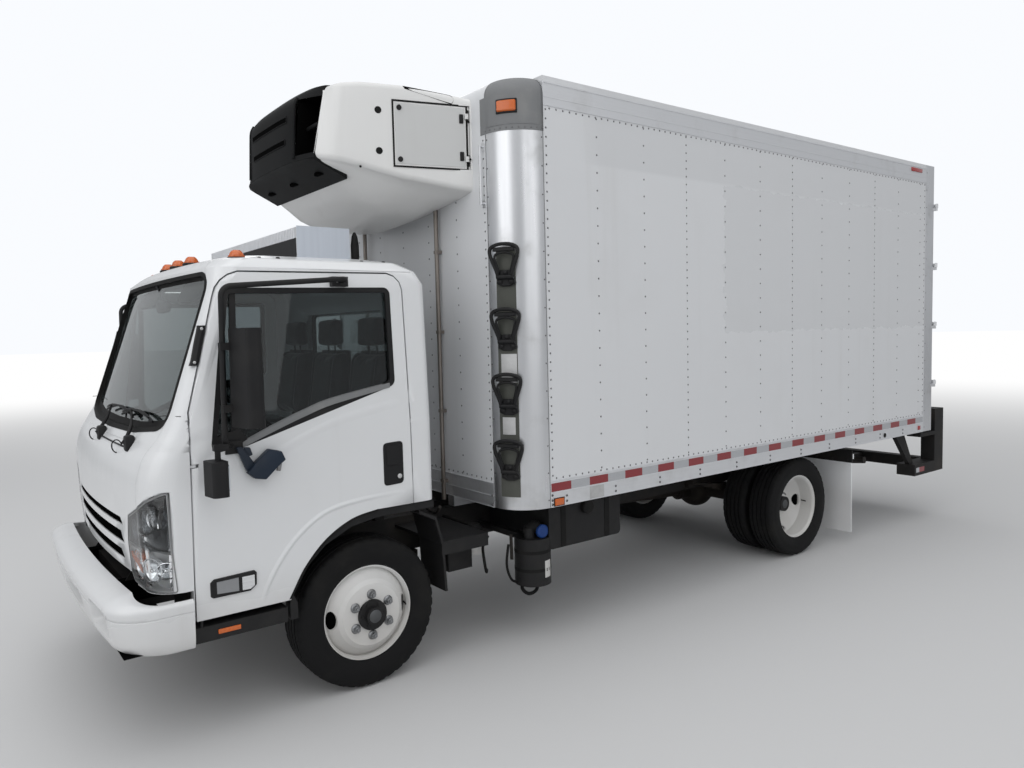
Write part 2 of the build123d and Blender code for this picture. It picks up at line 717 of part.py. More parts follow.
WINDOW = [(-800, 1362), (-700, 2128), (168, 2142), (170, 1626), (-632, 1384)]
WINDSCREEN = [
    (-912, 1530),
    (-893, 2150),
    (-830, 2205),
    (830, 2205),
    (893, 2150),
    (912, 1530),
    (840, 1482),
    (500, 1452),
    (0, 1446),
    (-500, 1452),
    (-840, 1482),
]
REAR_WINDOW = [(-560, 1600), (-560, 2040), (560, 2040), (560, 1600)]
LAMP = [
    (712, 1082),
    (850, 1135),
    (930, 1180),
    (985, 1212),
    (1040, 1216),
    (1040, CAB_LAMP_LIP),
    (700, CAB_LAMP_LIP + 10),
    (672, 800),
    (680, 900),
    (692, 990),
]
HINGE_LUG_Z = 1310
HINGE_LUG_HEIGHT = 12


def cab():
    outer = cab_body(0, 0)
    inner = cab_body(CAB_WALL, 45)
    shell = outer - inner
    arch = side_prism(arch_outline(0), -1100, 1100)
    shell = shell - arch
    # Under the front lip the shell is open, behind the bumper.
    shell = shell - block(-1100, 1100, -1400, DOOR_FRONT - DOOR_GAP, 500, CAB_LAMP_LIP)
    shell = shell - block(-740, 740, -1400, DOOR_FRONT - DOOR_GAP, 500, CAB_FRONT_LIP)
    shell = shell - block(-CAB_REAR, CAB_REAR, CAB_REAR - 90, CAB_REAR + 10, 900, CAB_FLOOR_Z)
    glass_band = cab_body(GLASS_INSET, 10) - cab_body(GLASS_INSET + GLASS_THICKNESS, 14)
    door_cut = side_prism(door_outline(DOOR_GAP), 800, 1100)
    door_tool = side_prism(door_outline(0), 800, 1100)
    window = side_prism(WINDOW, 800, 1100, 38)
    # Doors
    axis_y = DOOR_FRONT + DOOR_AXIS_BACK
    lug_top = HINGE_LUG_Z + HINGE_LUG_HEIGHT
    bore_radius = DOOR_PIN_RADIUS + RUNNING_CLEARANCE
    bores = rod_z(bore_radius, DOOR_BOTTOM - 1, DOOR_BOTTOM + 60, DOOR_AXIS_X, axis_y)
    bores = bores + rod_z(bore_radius, HINGE_LUG_Z, lug_top + 50, DOOR_AXIS_X, axis_y)
    bores = bores + block(900, 1010, DOOR_FRONT - 10, axis_y + 22, HINGE_LUG_Z - 3, lug_top + 3)
    door = (shell & door_tool) - window - bores
    pane = glass_band & window
    keep("left_door", door)
    keep("right_door", flip(door))
    keep("left_door_glass", pane)
    keep("right_door_glass", flip(pane))
    # Fixed shell
    fixed = shell - door_cut - flip(door_cut)
    screen = front_prism(WINDSCREEN, -1300, -500, 60)
    back_window = front_prism(REAR_WINDOW, CAB_REAR - 100, CAB_REAR + 10, 40)
    lamp_cut = front_prism(LAMP, -1300, -985)
    fixed = fixed - screen - back_window
    roof_z = 2225
    roof = fixed & block(-1100, 1100, -1300, 600, roof_z, 2400)
    rest = fixed - block(-1100, 1100, -1300, 600, roof_z, 2400)
    front_block = block(-1100, 1100, -1400, -850, 500, 1410)
    front = (rest & front_block) - lamp_cut - flip(lamp_cut)
    sides = rest - front_block
    # Slots under the nose: (bottom, top, half width)
    for low, high, half in ((1018, 1052, 625), (930, 985, 620), (842, 890, 590)):
        slot = [(-half, low), (-half + 40, high), (half - 40, high), (half, low)]
        front = front - front_prism(slot, -1300, -1060)
    grille_back = block(-650, 650, -1095, -1085, 830, 1070)
    front = front + (grille_back & inner)
    keep("cab_roof", roof)
    lug = block(966, 997, DOOR_FRONT - 50, axis_y + 2, HINGE_LUG_Z, lug_top)
    lug = lug + rod_z(12, HINGE_LUG_Z, lug_top, DOOR_AXIS_X - 3, axis_y)
    lug = lug + rod_z(DOOR_PIN_RADIUS, HINGE_LUG_Z, lug_top + 46, DOOR_AXIS_X, axis_y)
    keep("cab_sides", sides)
    keep("cab_front_panel", joined([front, lug, flip(lug)]))
    lamps = (outer - cab_body(34, 20)) & (lamp_cut - block(-1100, 1100, -990, 0, 0, 3000))
    keep("headlamps", *both(lamps))
    keep("cab_glass", glass_band & screen, glass_band & back_window)
    return outer, inner


def cab_floor(inner):
    top = CAB_FLOOR_Z + FLOOR_THICKNESS
    room = inner & block(-1100, 1100, -1300, 600, 500, 1300)
    well_floor = DOOR_BOTTOM - DOOR_GAP - 4
    wall = 26
    pieces = [
        block(-650, 650, -1090, CAB_REAR - CAB_WALL, CAB_FLOOR_Z, top) & room,
        block(-300, 300, -640, CAB_REAR - CAB_WALL, top - 1, 1150),
        block(620, 938, -500, CAB_REAR - CAB_WALL, CAB_FLOOR_Z + 25, top + 25) & room,
        block(620, 899, -890, -488, well_floor - wall, well_floor),
        block(620, 899, -514, -488, well_floor - wall, CAB_FLOOR_Z + 60),
        block(620, 646, -890, -488, well_floor - wall, top),
        block(620, 899, -904, -878, well_floor - wall, top),
    ]
    side = pieces[2:]
    pieces = pieces[:2] + side + [flip(piece) for piece in side]
    floor = joined(pieces)
    tunnel = block(-282, 282, -620, CAB_REAR + 1, CAB_FLOOR_Z - 1, 1128)
    floor = floor - tunnel
    # Tilt arms with bored bosses, either side of the engine.
    for sign in (-1, 1):
        x = sign * 395
        lo, hi = x - TILT_ARM_WIDTH / 2, x + TILT_ARM_WIDTH / 2
        floor = floor + block(lo, hi, TILT_Y - 28, TILT_Y + 28, TILT_Z, CAB_FLOOR_Z + 1)
        floor = floor + rod_x(TILT_BOSS_RADIUS, lo, hi, TILT_Y, TILT_Z)
        floor = floor - rod_x(TILT_PIN_RADIUS + RUNNING_CLEARANCE, lo - 1, hi + 1, TILT_Y, TILT_Z)
    keep("cab_floor", floor)
    # Black sills under the doors, with the lower door pins, and the arch trims.
    sill_top = DOOR_BOTTOM - DOOR_GAP
    axis_y = DOOR_FRONT + DOOR_AXIS_BACK
    sill = block(900, 996, -905, -470, sill_top - SILL_DEPTH, sill_top)
    pin = rod_z(DOOR_PIN_RADIUS, sill_top - 20, DOOR_BOTTOM + 56, DOOR_AXIS_X, axis_y)
    trim = side_prism(arch_outline(-8), 930, 985) - side_prism(arch_outline(-46), 900, 1000)
    trim = trim - block(900, 1000, -520, CAB_REAR + 60, 300, sill_top - SILL_DEPTH)
    trim = trim - block(900, 1000, CAB_REAR - 4, CAB_REAR + 60, 300, 1100)
    sill = sill & block(900, 996, -905, -470, 0, 1000)
    keep("cab_sills", *both(joined([sill, pin, trim])))


def cab_interior():
    profile = [(-1000, 1090), (-1000, 1330), (-930, 1385), (-760, 1370), (-640, 1290), (-640, 1090)]
    dash = side_prism(profile, -900, 900, 20)
    dash = dash + block(-900, 900, -1060, -990, 1090, 1130)
    keep("dashboard", dash & cab_body(CAB_WALL + 3, 50))
    # Seats: (left edge, right edge)
    seats = []
    floor_top = CAB_FLOOR_Z + FLOOR_THICKNESS + SEAT_GAP
    for x0, x1 in ((330, 810), (-250, 250), (-810, -330)):
        if x0 == -250:
            base = block(x0 + 30, x1 - 30, -240, 280, 1150 + SEAT_GAP, 1231)
        else:
            base = block(x0 + 30, x1 - 30, -240, 280, floor_top + 25, 1231)
        cushion = side_prism([(-290, 1230), (-290, 1350), (300, 1330), (300, 1230)], x0, x1, 30)
        back = side_prism([(180, 1325), (140, 1345), (225, 2010), (300, 2010), (310, 1325)], x0, x1, 25)
        seats.append(joined([base, cushion, back]))
    keep("seats", *seats)


WHEEL_CENTRE = (560, -470, 1470)
WHEEL_TILT = 40


def steering_wheel():
    ring = Torus(205, 15)
    spokes = [Rot(0, 0, angle) * Pos(100, 0, 0) * Box(200, 34, 14) for angle in (90, 210, 330)]
    hub = Cylinder(58, 40)
    column = Pos(0, 0, -110) * Cylinder(24, 180)
    wheel = joined([ring, hub] + spokes)
    place = Pos(*WHEEL_CENTRE) * Rot(-WHEEL_TILT, 0, 0)
    bore = Pos(0, 0, -110) * Cylinder(24 + RUNNING_CLEARANCE, 182)
    socket = Pos(0, 0, -190) * Cylinder(44, 150) - bore
    keep("steering_wheel", place * (wheel + column))
    return place * socket


def mirror_arms(outer):
    x = 1105
    tube = 13
    points = [
        (985, -125, 2168),
        (x, -135, 2172),
        (x, -750, 2125),
        (x, -765, 1405),
        (985, -700, 1392),
    ]
    path = FilletPolyline(*points, radius=50)
    arm = sweep(Plane(origin=path @ 0, z_dir=path % 0) * Circle(tube), path=path)
    feet = [block(955, 1002, -170, -85, 2140, 2190), block(985, 1010, -735, -655, 1355, 1415)]
    head = plan_prism([(1088, -735), (1276, -700), (1280, -625), (1092, -650)], 1493, 1937, 26)
    clamps = [block(x - 16, x + 20, -770, -690, z, z + 34) for z in (1560, 1840)]
    low = plan_prism([(1064, -862), (1188, -844), (1194, -772), (1068, -782)], 1192, 1350, 24)
    drop = rod_z(tube, 1300, 1420, x + 4, -800)
    link = block(x - 12, x + 18, -818, -752, 1392, 1420)
    return joined([arm, head, low, drop, link] + clamps + feet) - outer


def roof_fittings(outer):
    cut = outer
    lamps = []
    # Clearance lamps on the roof's front edge: (x, y, height)
    places = [(830, -585, 2262), (250, -640, 2280), (0, -645, 2282), (-250, -640, 2280), (-830, -585, 2262)]
    for x, y, z in places:
        lamp = Pos(x, y, z) * Cylinder(40, 60) + Pos(x, y, z + 26) * Sphere(35)
        lamps.append((lamp & block(x - 60, x + 60, y - 60, y + 60, 2200, z + 56)) - cut)
    keep("roof_lamps", *lamps)
    plates = [block(x0, x1, -190, 120, 2240, 2482) for x0, x1 in ((585, 610), (-930, -905))]
    over = [(-190, 2420), (-190, 2482), (120, 2490), (120, 2478), (-170, 2470), (-178, 2420)]
    strip = side_prism(over, -905, 585)
    lower = side_prism([(-178, 2345), (-190, 2420), (-178, 2420), (-166, 2345)], -905, 585)
    keep("roof_deflector", joined([strip, lower] + [plate - cut for plate in plates]))


# Body
def body():
    y0, y1 = BODY_CORNER_Y, POST_FRONT
    rail_x = BODY_HALF_WIDTH - RAIL_DEPTH
    wall = block(BODY_INNER_X, BODY_SKIN_X, y0, y1, BOTTOM_RAIL_TOP, TOP_RAIL_BOTTOM)
    keep("body_side_walls", *both(wall))
    low_rail = block(rail_x, BODY_HALF_WIDTH, y0, y1, BODY_BOTTOM, BOTTOM_RAIL_TOP)
    top_rail = block(rail_x, BODY_HALF_WIDTH, y0, y1, TOP_RAIL_BOTTOM, TOP_RAIL_TOP)
    front_rail = block(-BODY_CORNER_X, BODY_CORNER_X, BODY_FRONT - 4, BODY_FRONT + WALL, BODY_BOTTOM, 1005)
    keep("body_rails", *both(low_rail), *both(top_rail), front_rail)
    front_wall = block(-BODY_CORNER_X, BODY_CORNER_X, BODY_FRONT, BODY_FRONT + WALL, 1005, CAP_BOTTOM)
    keep("body_front_wall", front_wall)
    # Corner posts and caps are turned about the corner's own upright axis.
    inner_r = CORNER_RADIUS - WALL
    quarter = block(BODY_CORNER_X, BODY_HALF_WIDTH + 5, BODY_FRONT - 5, y0, 0, 4000)
    ring = rod_z(CORNER_RADIUS, BODY_BOTTOM, CAP_BOTTOM, BODY_CORNER_X, y0)
    ring = ring - rod_z(inner_r, BODY_BOTTOM - 1, CAP_BOTTOM + 1, BODY_CORNER_X, y0)
    keep("corner_posts", *both(ring & quarter))
    cap_r = CORNER_RADIUS + 3
    bend = 108
    shoulder = BODY_TOP - bend * (1 - math.sqrt(0.5))
    profile = [
        Line((0, 0, CAP_BOTTOM), (cap_r, 0, CAP_BOTTOM)),
        Line((cap_r, 0, CAP_BOTTOM), (cap_r, 0, BODY_TOP - bend)),
        ThreePointArc(
            (cap_r, 0, BODY_TOP - bend),
            (cap_r - bend * (1 - math.sqrt(0.5)), 0, shoulder),
            (cap_r - bend, 0, BODY_TOP),
        ),
        Line((cap_r - bend, 0, BODY_TOP), (0, 0, BODY_TOP)),
        Line((0, 0, BODY_TOP), (0, 0, CAP_BOTTOM)),
    ]
    face = make_face(profile)
    turned_cap = revolve(face, axis=Axis.Z, revolution_arc=360)
    cap = Pos(BODY_CORNER_X, y0, 0) * turned_cap & quarter
    hollow = rod_z(inner_r, CAP_BOTTOM - 1, BODY_TOP - ROOF_THICKNESS, BODY_CORNER_X, y0)
    flange = block(940, BODY_CORNER_X + 1, BODY_FRONT - 3, BODY_FRONT, CAP_BOTTOM, BODY_TOP - bend)
    keep("corner_caps", *both((cap - hollow) + flange))
    # Roof with its rounded front edge between the caps.
    edge = [
        Line((0, BODY_FRONT, CAP_BOTTOM), (0, BODY_FRONT, BODY_TOP - bend)),
        ThreePointArc(
            (0, BODY_FRONT, BODY_TOP - bend),
            (0, BODY_FRONT + bend * (1 - math.sqrt(0.5)), BODY_TOP - bend * (1 - math.sqrt(0.5))),
            (0, BODY_FRONT + bend, BODY_TOP),
        ),
        Line((0, BODY_FRONT + bend, BODY_TOP), (0, y0, BODY_TOP)),
        Line((0, y0, BODY_TOP), (0, y0, BODY_TOP - ROOF_THICKNESS)),
        Line((0, y0, BODY_TOP - ROOF_THICKNESS), (0, BODY_FRONT + WALL, BODY_TOP - ROOF_THICKNESS)),
        Line((0, BODY_FRONT + WALL, BODY_TOP - ROOF_THICKNESS), (0, BODY_FRONT + WALL, CAP_BOTTOM)),
        Line((0, BODY_FRONT + WALL, CAP_BOTTOM), (0, BODY_FRONT, CAP_BOTTOM)),
    ]
    brow = Pos(-BODY_CORNER_X, 0, 0) * extrude(make_face(edge), amount=2 * BODY_CORNER_X, dir=(1, 0, 0))
    slab = block(-rail_x, rail_x, y0, POST_FRONT, BODY_TOP - ROOF_THICKNESS, TOP_RAIL_TOP)
    lid = block(-BODY_HALF_WIDTH, BODY_HALF_WIDTH, y0, POST_FRONT, TOP_RAIL_TOP, BODY_TOP)
    keep("body_roof", joined([slab, lid, brow]))
    # Floor with its cross members and the two long sills on the frame.
    deck = block(-rail_x, rail_x, BODY_FRONT + WALL, POST_FRONT, FLOOR_BOTTOM, FLOOR_TOP)
    corner_clear = rod_z(CORNER_RADIUS, 0, 2000, BODY_CORNER_X, y0)
    corner_clear = (corner_clear - rod_z(inner_r, -1, 2001, BODY_CORNER_X, y0)) & quarter
    outside = quarter - rod_z(CORNER_RADIUS, 0, 4000, BODY_CORNER_X, y0)
    deck = deck - corner_clear - flip(corner_clear) - outside - flip(outside)
    wall_clear = block(BODY_INNER_X, BODY_HALF_WIDTH, y0, y1, BOTTOM_RAIL_TOP, FLOOR_TOP + 1)
    deck = deck - wall_clear - flip(wall_clear)
    pieces = [deck]
    count = int((POST_FRONT - BODY_CORNER_Y) / CROSS_PITCH)
    for number in range(count + 1):
        y = BODY_CORNER_Y + 40 + number * CROSS_PITCH
        pieces.append(block(-rail_x, rail_x, y - 22, y + 22, BODY_BOTTOM, FLOOR_BOTTOM))
    for x0 in (RAIL_OUTER_X - RAIL_FLANGE, -RAIL_OUTER_X):
        pieces.append(block(x0, x0 + RAIL_FLANGE, BODY_FRONT + WALL, POST_FRONT, RAIL_TOP, FLOOR_BOTTOM))
    keep("body_floor", joined(pieces))


def hinge_heights():
    return (1300, 1850, 2400, 2950)


def rear_frame():
    inner = BODY_HALF_WIDTH - POST_WIDTH
    axis_x = BODY_HALF_WIDTH + REAR_AXIS_OUT
    axis_y = BODY_REAR + REAR_AXIS_BACK
    pieces = [
        block(inner, BODY_HALF_WIDTH, POST_FRONT, BODY_REAR, BODY_BOTTOM, BODY_TOP),
        block(-BODY_HALF_WIDTH, -inner, POST_FRONT, BODY_REAR, BODY_BOTTOM, BODY_TOP),
        block(-inner, inner, POST_FRONT, BODY_REAR, HEADER_BOTTOM, BODY_TOP),
        block(-inner, inner, POST_FRONT, BODY_REAR, BODY_BOTTOM, SILL_TOP),
    ]
    for z in hinge_heights():
        lug = plan_prism(
            [
                (BODY_HALF_WIDTH - 40, BODY_REAR),
                (BODY_HALF_WIDTH - 40, BODY_REAR + 8),
                (axis_x - 4, axis_y + 8),
                (axis_x + 8, axis_y + 4),
                (BODY_HALF_WIDTH, BODY_REAR - 20),
                (BODY_HALF_WIDTH, BODY_REAR),
            ],
            z - 26,
            z - 1,
        )
        lug = lug + rod_z(HINGE_PIN_RADIUS, z - 26, z + 40, axis_x, axis_y)
        pieces.extend([lug, flip(lug)])
    frame = joined(pieces)
    for x in (-PLATE_SPACING / 2, PLATE_SPACING / 2):
        frame = frame - rod_y(PLATE_HOLE_RADIUS, BODY_REAR - 30, BODY_REAR + 1, x, PLATE_Z)
    keep("rear_frame", frame)
    # Doors with hinge straps and lock rods
    x_edge = inner - REAR_DOOR_GAP
    y1 = BODY_REAR - REAR_DOOR_RECESS
    y0 = y1 - REAR_DOOR_THICKNESS
    low, high = SILL_TOP + REAR_DOOR_GAP, HEADER_BOTTOM - REAR_DOOR_GAP
    panel = block(REAR_CENTRE_GAP / 2, x_edge, y0, y1, low, high)
    pieces = [panel]
    for z in hinge_heights():
        strap = block(x_edge - 170, x_edge - 20, y1 - 1, y1 + 8, z, z + 36)
        reach = plan_prism(
            [
                (x_edge - 30, y1 - 1),
                (x_edge - 30, y1 + 8),
                (BODY_HALF_WIDTH - 60, axis_y + 16),
                (axis_x, axis_y + HINGE_KNUCKLE_RADIUS),
                (axis_x, axis_y + 8),
                (BODY_HALF_WIDTH - 56, axis_y + 7),
                (x_edge - 6, y1 - 1),
            ],
            z,
            z + 36,
        )
        knuckle = rod_z(HINGE_KNUCKLE_RADIUS, z, z + 36, axis_x, axis_y)
        bore = rod_z(HINGE_PIN_RADIUS + RUNNING_CLEARANCE, z - 2, z + 60, axis_x, axis_y)
        pieces.append((strap + reach + knuckle) - bore)
    door = joined(pieces)
    rod = rod_z(13, SILL_TOP + 26, HEADER_BOTTOM - 26, 200, y1 + 30)
    for z in (SILL_TOP + 60, 1500, 2050, 2600, HEADER_BOTTOM - 60):
        rod = rod + block(178, 222, y1, y1 + 44, z - 18, z + 18)
    handle = block(190, 560, y1 + 40, y1 + 52, 1380, 1412) + block(190, 212, y1 + 30, y1 + 52, 1370, 1422)
    handle = handle + block(520, 560, y1, y1 + 52, 1380, 1412)
    keep("left_rear_door", door + rod + handle)
    keep("right_rear_door", flip(door + rod + handle))


def rear_bumper():
    half = GUARD_HALF_WIDTH
    foot = block(half - 170, half, GUARD_FRONT, GUARD_REAR, GUARD_BOTTOM, GUARD_TOP)
    post = block(half - 130, half, 5925, GUARD_REAR, GUARD_TOP, 1048)
    shelf = block(half - 130, half, 5694, 5925, 800, 835)
    drop = block(half - 130, half, 5640, 5694, 800, BODY_BOTTOM)
    strut_outline = [(5264, BODY_BOTTOM), (5432, BODY_BOTTOM), (5620, GUARD_TOP), (5550, GUARD_TOP)]
    strut = side_prism(strut_outline, half - 100, half - 60)
    bar = block(-half + 170, half - 170, 6000, GUARD_REAR, GUARD_BOTTOM, GUARD_TOP)
    step = block(-half + 130, half - 130, 5790, GUARD_REAR, 990, 1040)
    side = joined([foot, post, shelf, drop, strut])
    hangers = [block(x - 30, x + 30, 5660, 6010, GUARD_BOTTOM + 20, GUARD_TOP - 20) for x in (-390, 390)]
    uprights = [block(x - 30, x + 30, 5640, 5700, GUARD_BOTTOM + 20, RAIL_BOTTOM + 40) for x in (-390, 390)]
    keep("rear_bumper", joined([side, flip(side), bar, step] + hangers + uprights))


def post_slab(inner, outer, start, stop, z0, z1):
    """A piece that follows the rounded corner between two angles."""
    ring = Cylinder(outer, z1 - z0) - Cylinder(inner, z1 - z0 + 2)
    reach = outer + 60
    corners = [(0, 0)]
    for step in range(5):
        angle = math.radians(-stop + (stop - start) * step / 4)
        corners.append((reach * math.cos(angle), reach * math.sin(angle)))
    wedge = plan_prism(corners, -2000, 2000)
    return Pos(BODY_CORNER_X, BODY_CORNER_Y, (z0 + z1) / 2) * (ring & wedge)


def climbing_steps():
    pieces = [post_slab(CORNER_RADIUS, CORNER_RADIUS + 6, 42, 74, 935, 2360)]
    for z in (2255, 1890, 1520, 1140):
        pieces.append(post_slab(CORNER_RADIUS + 5, CORNER_RADIUS + 34, 41, 75, z + 50, z + 90))
        pieces.append(post_slab(CORNER_RADIUS + 5, CORNER_RADIUS + 26, 47, 69, z - 90, z + 55))
    keep("climbing_steps", joined(pieces))


# Cooling unit
UNIT_CREASE = [(-30, 2884), (170, 2836), (420, 2775), (620, 2745), (BODY_FRONT, 2716)]
# Belly sections along Y: (y, crease half width, crease z, flank half width, flank z, keel z)
UNIT_BELLY = [
    (150, 625, 2842, 495, 2785, 2785),
    (270, 668, 2812, 450, 2672, 2645),
    (420, 722, 2776, 450, 2608, 2562),
    (640, 800, 2742, 470, 2612, 2566),
    (BODY_FRONT, 850, 2716, 520, 2672, 2630),
]


def unit_shell():
    """The unit's upper part: plan, side and front outlines taken together."""
    half_plan = [(0, -104), (330, -88), (592, -40), (610, 10), (826, 770)]
    half_plan = half_plan + [(UNIT_HALF_WIDTH, UNIT_SHOULDER_Y), (UNIT_HALF_WIDTH, BODY_FRONT)]
    right = [(-x, y) for x, y in reversed(half_plan[1:])]
    plan = plan_prism(half_plan + right, 2400, 3500)
    side = [
        (BODY_FRONT, UNIT_TOP - 25),
        (420, UNIT_TOP),
        (200, UNIT_TOP - 8),
        (60, UNIT_TOP - 27),
        (-2, UNIT_TOP - 44),
        (-36, UNIT_TOP - 72),
        (-110, 2886),
        (-30, 2884),
        (170, 2780),
        (170, 2836),
    ]
    side = side[:8] + UNIT_CREASE[1:]
    body = plan & side_prism(side, -1000, 1000)
    y = -300
    edge = UNIT_TOP_EDGE
    outline = [
        ThreePointArc((-840, y, edge), (0, y, UNIT_TOP), (840, y, edge)),
        Line((840, y, edge), (870, y, edge - 40)),
        Line((870, y, edge - 40), (870, y, 2500)),
        Line((870, y, 2500), (-870, y, 2500)),
        Line((-870, y, 2500), (-870, y, edge - 40)),
        Line((-870, y, edge - 40), (-840, y, edge)),
    ]
    return body & extrude(make_face(outline), amount=1200, dir=(0, 1, 0))


def unit_belly():
    sections = []
    for y, crease, crease_z, flank, flank_z, keel in UNIT_BELLY:
        half = [(0, keel), (flank, flank_z), (crease, crease_z), (crease - 30, 3000)]
        points = [(x, y, z) for x, z in half] + [(-x, y, z) for x, z in reversed(half[1:])]
        sections.append(make_face(Polyline(*points, close=True)))
    return loft(sections, ruled=True)


def cooling_unit():
    whole = unit_shell() + unit_belly()
    chin = side_prism([(-200, 2886), (150, 2886), (150, 2785), (148, 2783), (-35, 2872)], -500, 500)
    face = [(-574, 3400), (574, 3400), (530, 2884), (497, 2700), (-497, 2700), (-530, 2884)]
    nose_tool = front_prism(face, -400, 149)
    back = [(-400, 3400), (60, 3400), (60, 2960), (149, 2880), (149, 2700), (-400, 2700)]
    depth = side_prism(back, -700, 700)
    nose_tool = nose_tool & depth
    chin_plan = plan_prism([(-540, -60), (540, -60), (497, 149), (-497, 149)], 2700, 3000)
    nose_tool = nose_tool + (chin & chin_plan)
    nose = whole & nose_tool
    housing = whole - nose_tool
    # Deep side intakes, the slots of the middle panel and the chin's vents
    intake = front_prism([(366, 2908), (530, 2906), (556, 3225), (468, 3236)], -300, 40, 14)
    nose = nose - intake - flip(intake)
    bar = block(400, 560, 12, 42, 3060, 3085)
    bar = bar & whole & nose_tool
    nose = nose + bar + flip(bar)
    for z0, z1, half in ((3122, 3154, 285), (2998, 3030, 262)):
        slot = front_prism([(-half, z0), (-half, z1), (half, z1), (half, z0)], -300, -66, 12)
        nose = nose - slot
    for x in (-360, 0, 360):
        nose = nose - rod_z(26, 2700, 2850, x, 70)
    keep("unit_nose", nose)
    # The service door lies flush in the slanted side.
    front_x, front_y, back_x, back_y = 610, 10, 826, 770
    slant = math.degrees(math.atan2(back_x - front_x, back_y - front_y))
    place = Pos(back_x, back_y, 0) * Rot(0, 0, -slant)
    low, high, back_edge, front_edge = 2850, 3205, 18, -416
    gap = UNIT_DOOR_GAP
    axis_y = back_edge - 2
    pocket = place * block(-UNIT_DOOR_POCKET, 40, front_edge - gap, back_edge + 14, low - gap, high + gap)
    panel = place * block(-UNIT_DOOR_THICKNESS, 0, front_edge, back_edge - 8, low, high)
    ear = place * (block(-8, 13, axis_y - 14, axis_y + 7, low + 40, low + 70)
                   + block(-8, 13, axis_y - 14, axis_y + 7, high - 70, high - 40))
    ear = ear - place * rod_z(5 + RUNNING_CLEARANCE, low, high, 7, axis_y)
    pins = place * (rod_z(5, low + 28, low + 78, 7, axis_y) + rod_z(5, high - 78, high - 28, 7, axis_y))
    posts = []
    for z in (low + 28, low + 72, high - 80, high - 36):
        posts.append(place * block(-16, 13, axis_y - 6, back_edge + 15, z, z + 8))
    housing = housing - pocket
    # Outlet slots under the roof's side edges and two lashing holes in each flank
    slot = front_prism([(640, 3226), (640, 3264), (1000, 3264), (1000, 3226)], 420, 690)
    housing = housing - slot - flip(slot)
    for z in (3150, 2925):
        hole = Pos(688, 285, z) * Rot(0, 0, -slant) * Rot(0, 90, 0) * Cylinder(20, 60)
        housing = housing - hole - flip(hole)
    keep("unit_housing", joined([housing, pins] + posts))
    keep("unit_door", panel + ear)
    # Drain hoses down the front wall: (x, top, bottom)
    hoses = []
    for x, top, bottom in ((470, 2700, 830), (-510, 2700, 830)):
        hose = [rod_z(14, bottom, top + 60, x, BODY_FRONT - 30)]
        for z in (2400, 1900, 1400, 950):
            hose.append(block(x - 20, x + 20, BODY_FRONT - 40, BODY_FRONT - 4, z - 10, z + 10))
        hoses.append(joined(hose) - whole)
    keep("drain_hoses", *hoses)


def main():
    wheels()
    front_axle()
    rear_axle()
    springs()
    chassis_frame()
    front_bumper()
    chassis_equipment()
    outer, inner = cab()
    cab_floor(inner)
    cab_interior()
    socket = steering_wheel()
    nodes["dashboard"] = joined(nodes["dashboard"] + [socket]).solids()
    arms = mirror_arms(outer)
    keep("left_mirror", arms)
    keep("right_mirror", flip(arms))
    roof_fittings(outer)
    body()
    rear_frame()
    rear_bumper()
    climbing_steps()
    cooling_unit()
    os.makedirs("parts", exist_ok=True)
    for name, solids in nodes.items():
        moved = [Pos(0, -CENTRE_Y, 0) * solid for solid in solids]
        shape = moved[0] if len(moved) == 1 else Compound(children=moved)
        export_step(shape, "parts/" + name + ".step")


main()
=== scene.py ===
"""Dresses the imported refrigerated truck. Metres; the helpers count y from the front axle."""
from math import atan2, ceil, copysign, cos, pi, radians, sin, sqrt

import bmesh
import bpy
from mathutils import Matrix, Vector


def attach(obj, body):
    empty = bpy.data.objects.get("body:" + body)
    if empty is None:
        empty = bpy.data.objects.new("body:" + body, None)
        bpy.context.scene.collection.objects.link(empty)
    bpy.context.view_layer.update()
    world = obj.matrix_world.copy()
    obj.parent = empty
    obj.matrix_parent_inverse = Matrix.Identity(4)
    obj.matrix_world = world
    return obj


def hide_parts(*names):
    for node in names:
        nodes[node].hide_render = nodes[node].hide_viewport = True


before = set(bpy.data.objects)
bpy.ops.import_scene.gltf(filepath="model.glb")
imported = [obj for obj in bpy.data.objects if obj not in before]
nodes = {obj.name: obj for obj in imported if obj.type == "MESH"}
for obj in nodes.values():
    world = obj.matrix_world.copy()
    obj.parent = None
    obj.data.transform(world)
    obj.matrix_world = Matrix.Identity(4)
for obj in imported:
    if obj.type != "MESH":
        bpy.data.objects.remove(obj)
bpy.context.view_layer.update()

# The truck's own sizes, in metres
FRONT_AXLE_Y = -2.405
REAR_AXLE_Y = 3.810
WHEEL_Z = 0.405
FRONT_WHEEL_X = 0.8325
REAR_WHEELS_X = (0.9695, 0.7155)
BODY_X = 1.2165
RAIL_FACE_X = 1.2185
RAIL_BOLT_X = 1.2188
BODY_NOSE_Y = 0.807
CORNER_X = 0.984
CORNER_Y = 1.042
CORNER_RADIUS = 0.235
POST_Y = 5.625
RIVET_COLUMN = 0.4064
RIVET_PITCH = 0.0508
RIVET_RADIUS = 0.0062
RIVET_HEIGHT = 0.0026
FIRST_COLUMN_Y = 1.458
WINDOW = [(-0.800, 1.362), (-0.700, 2.128), (0.168, 2.142), (0.170, 1.626), (-0.632, 1.384)]
SIDES = (("left", 1), ("right", -1))


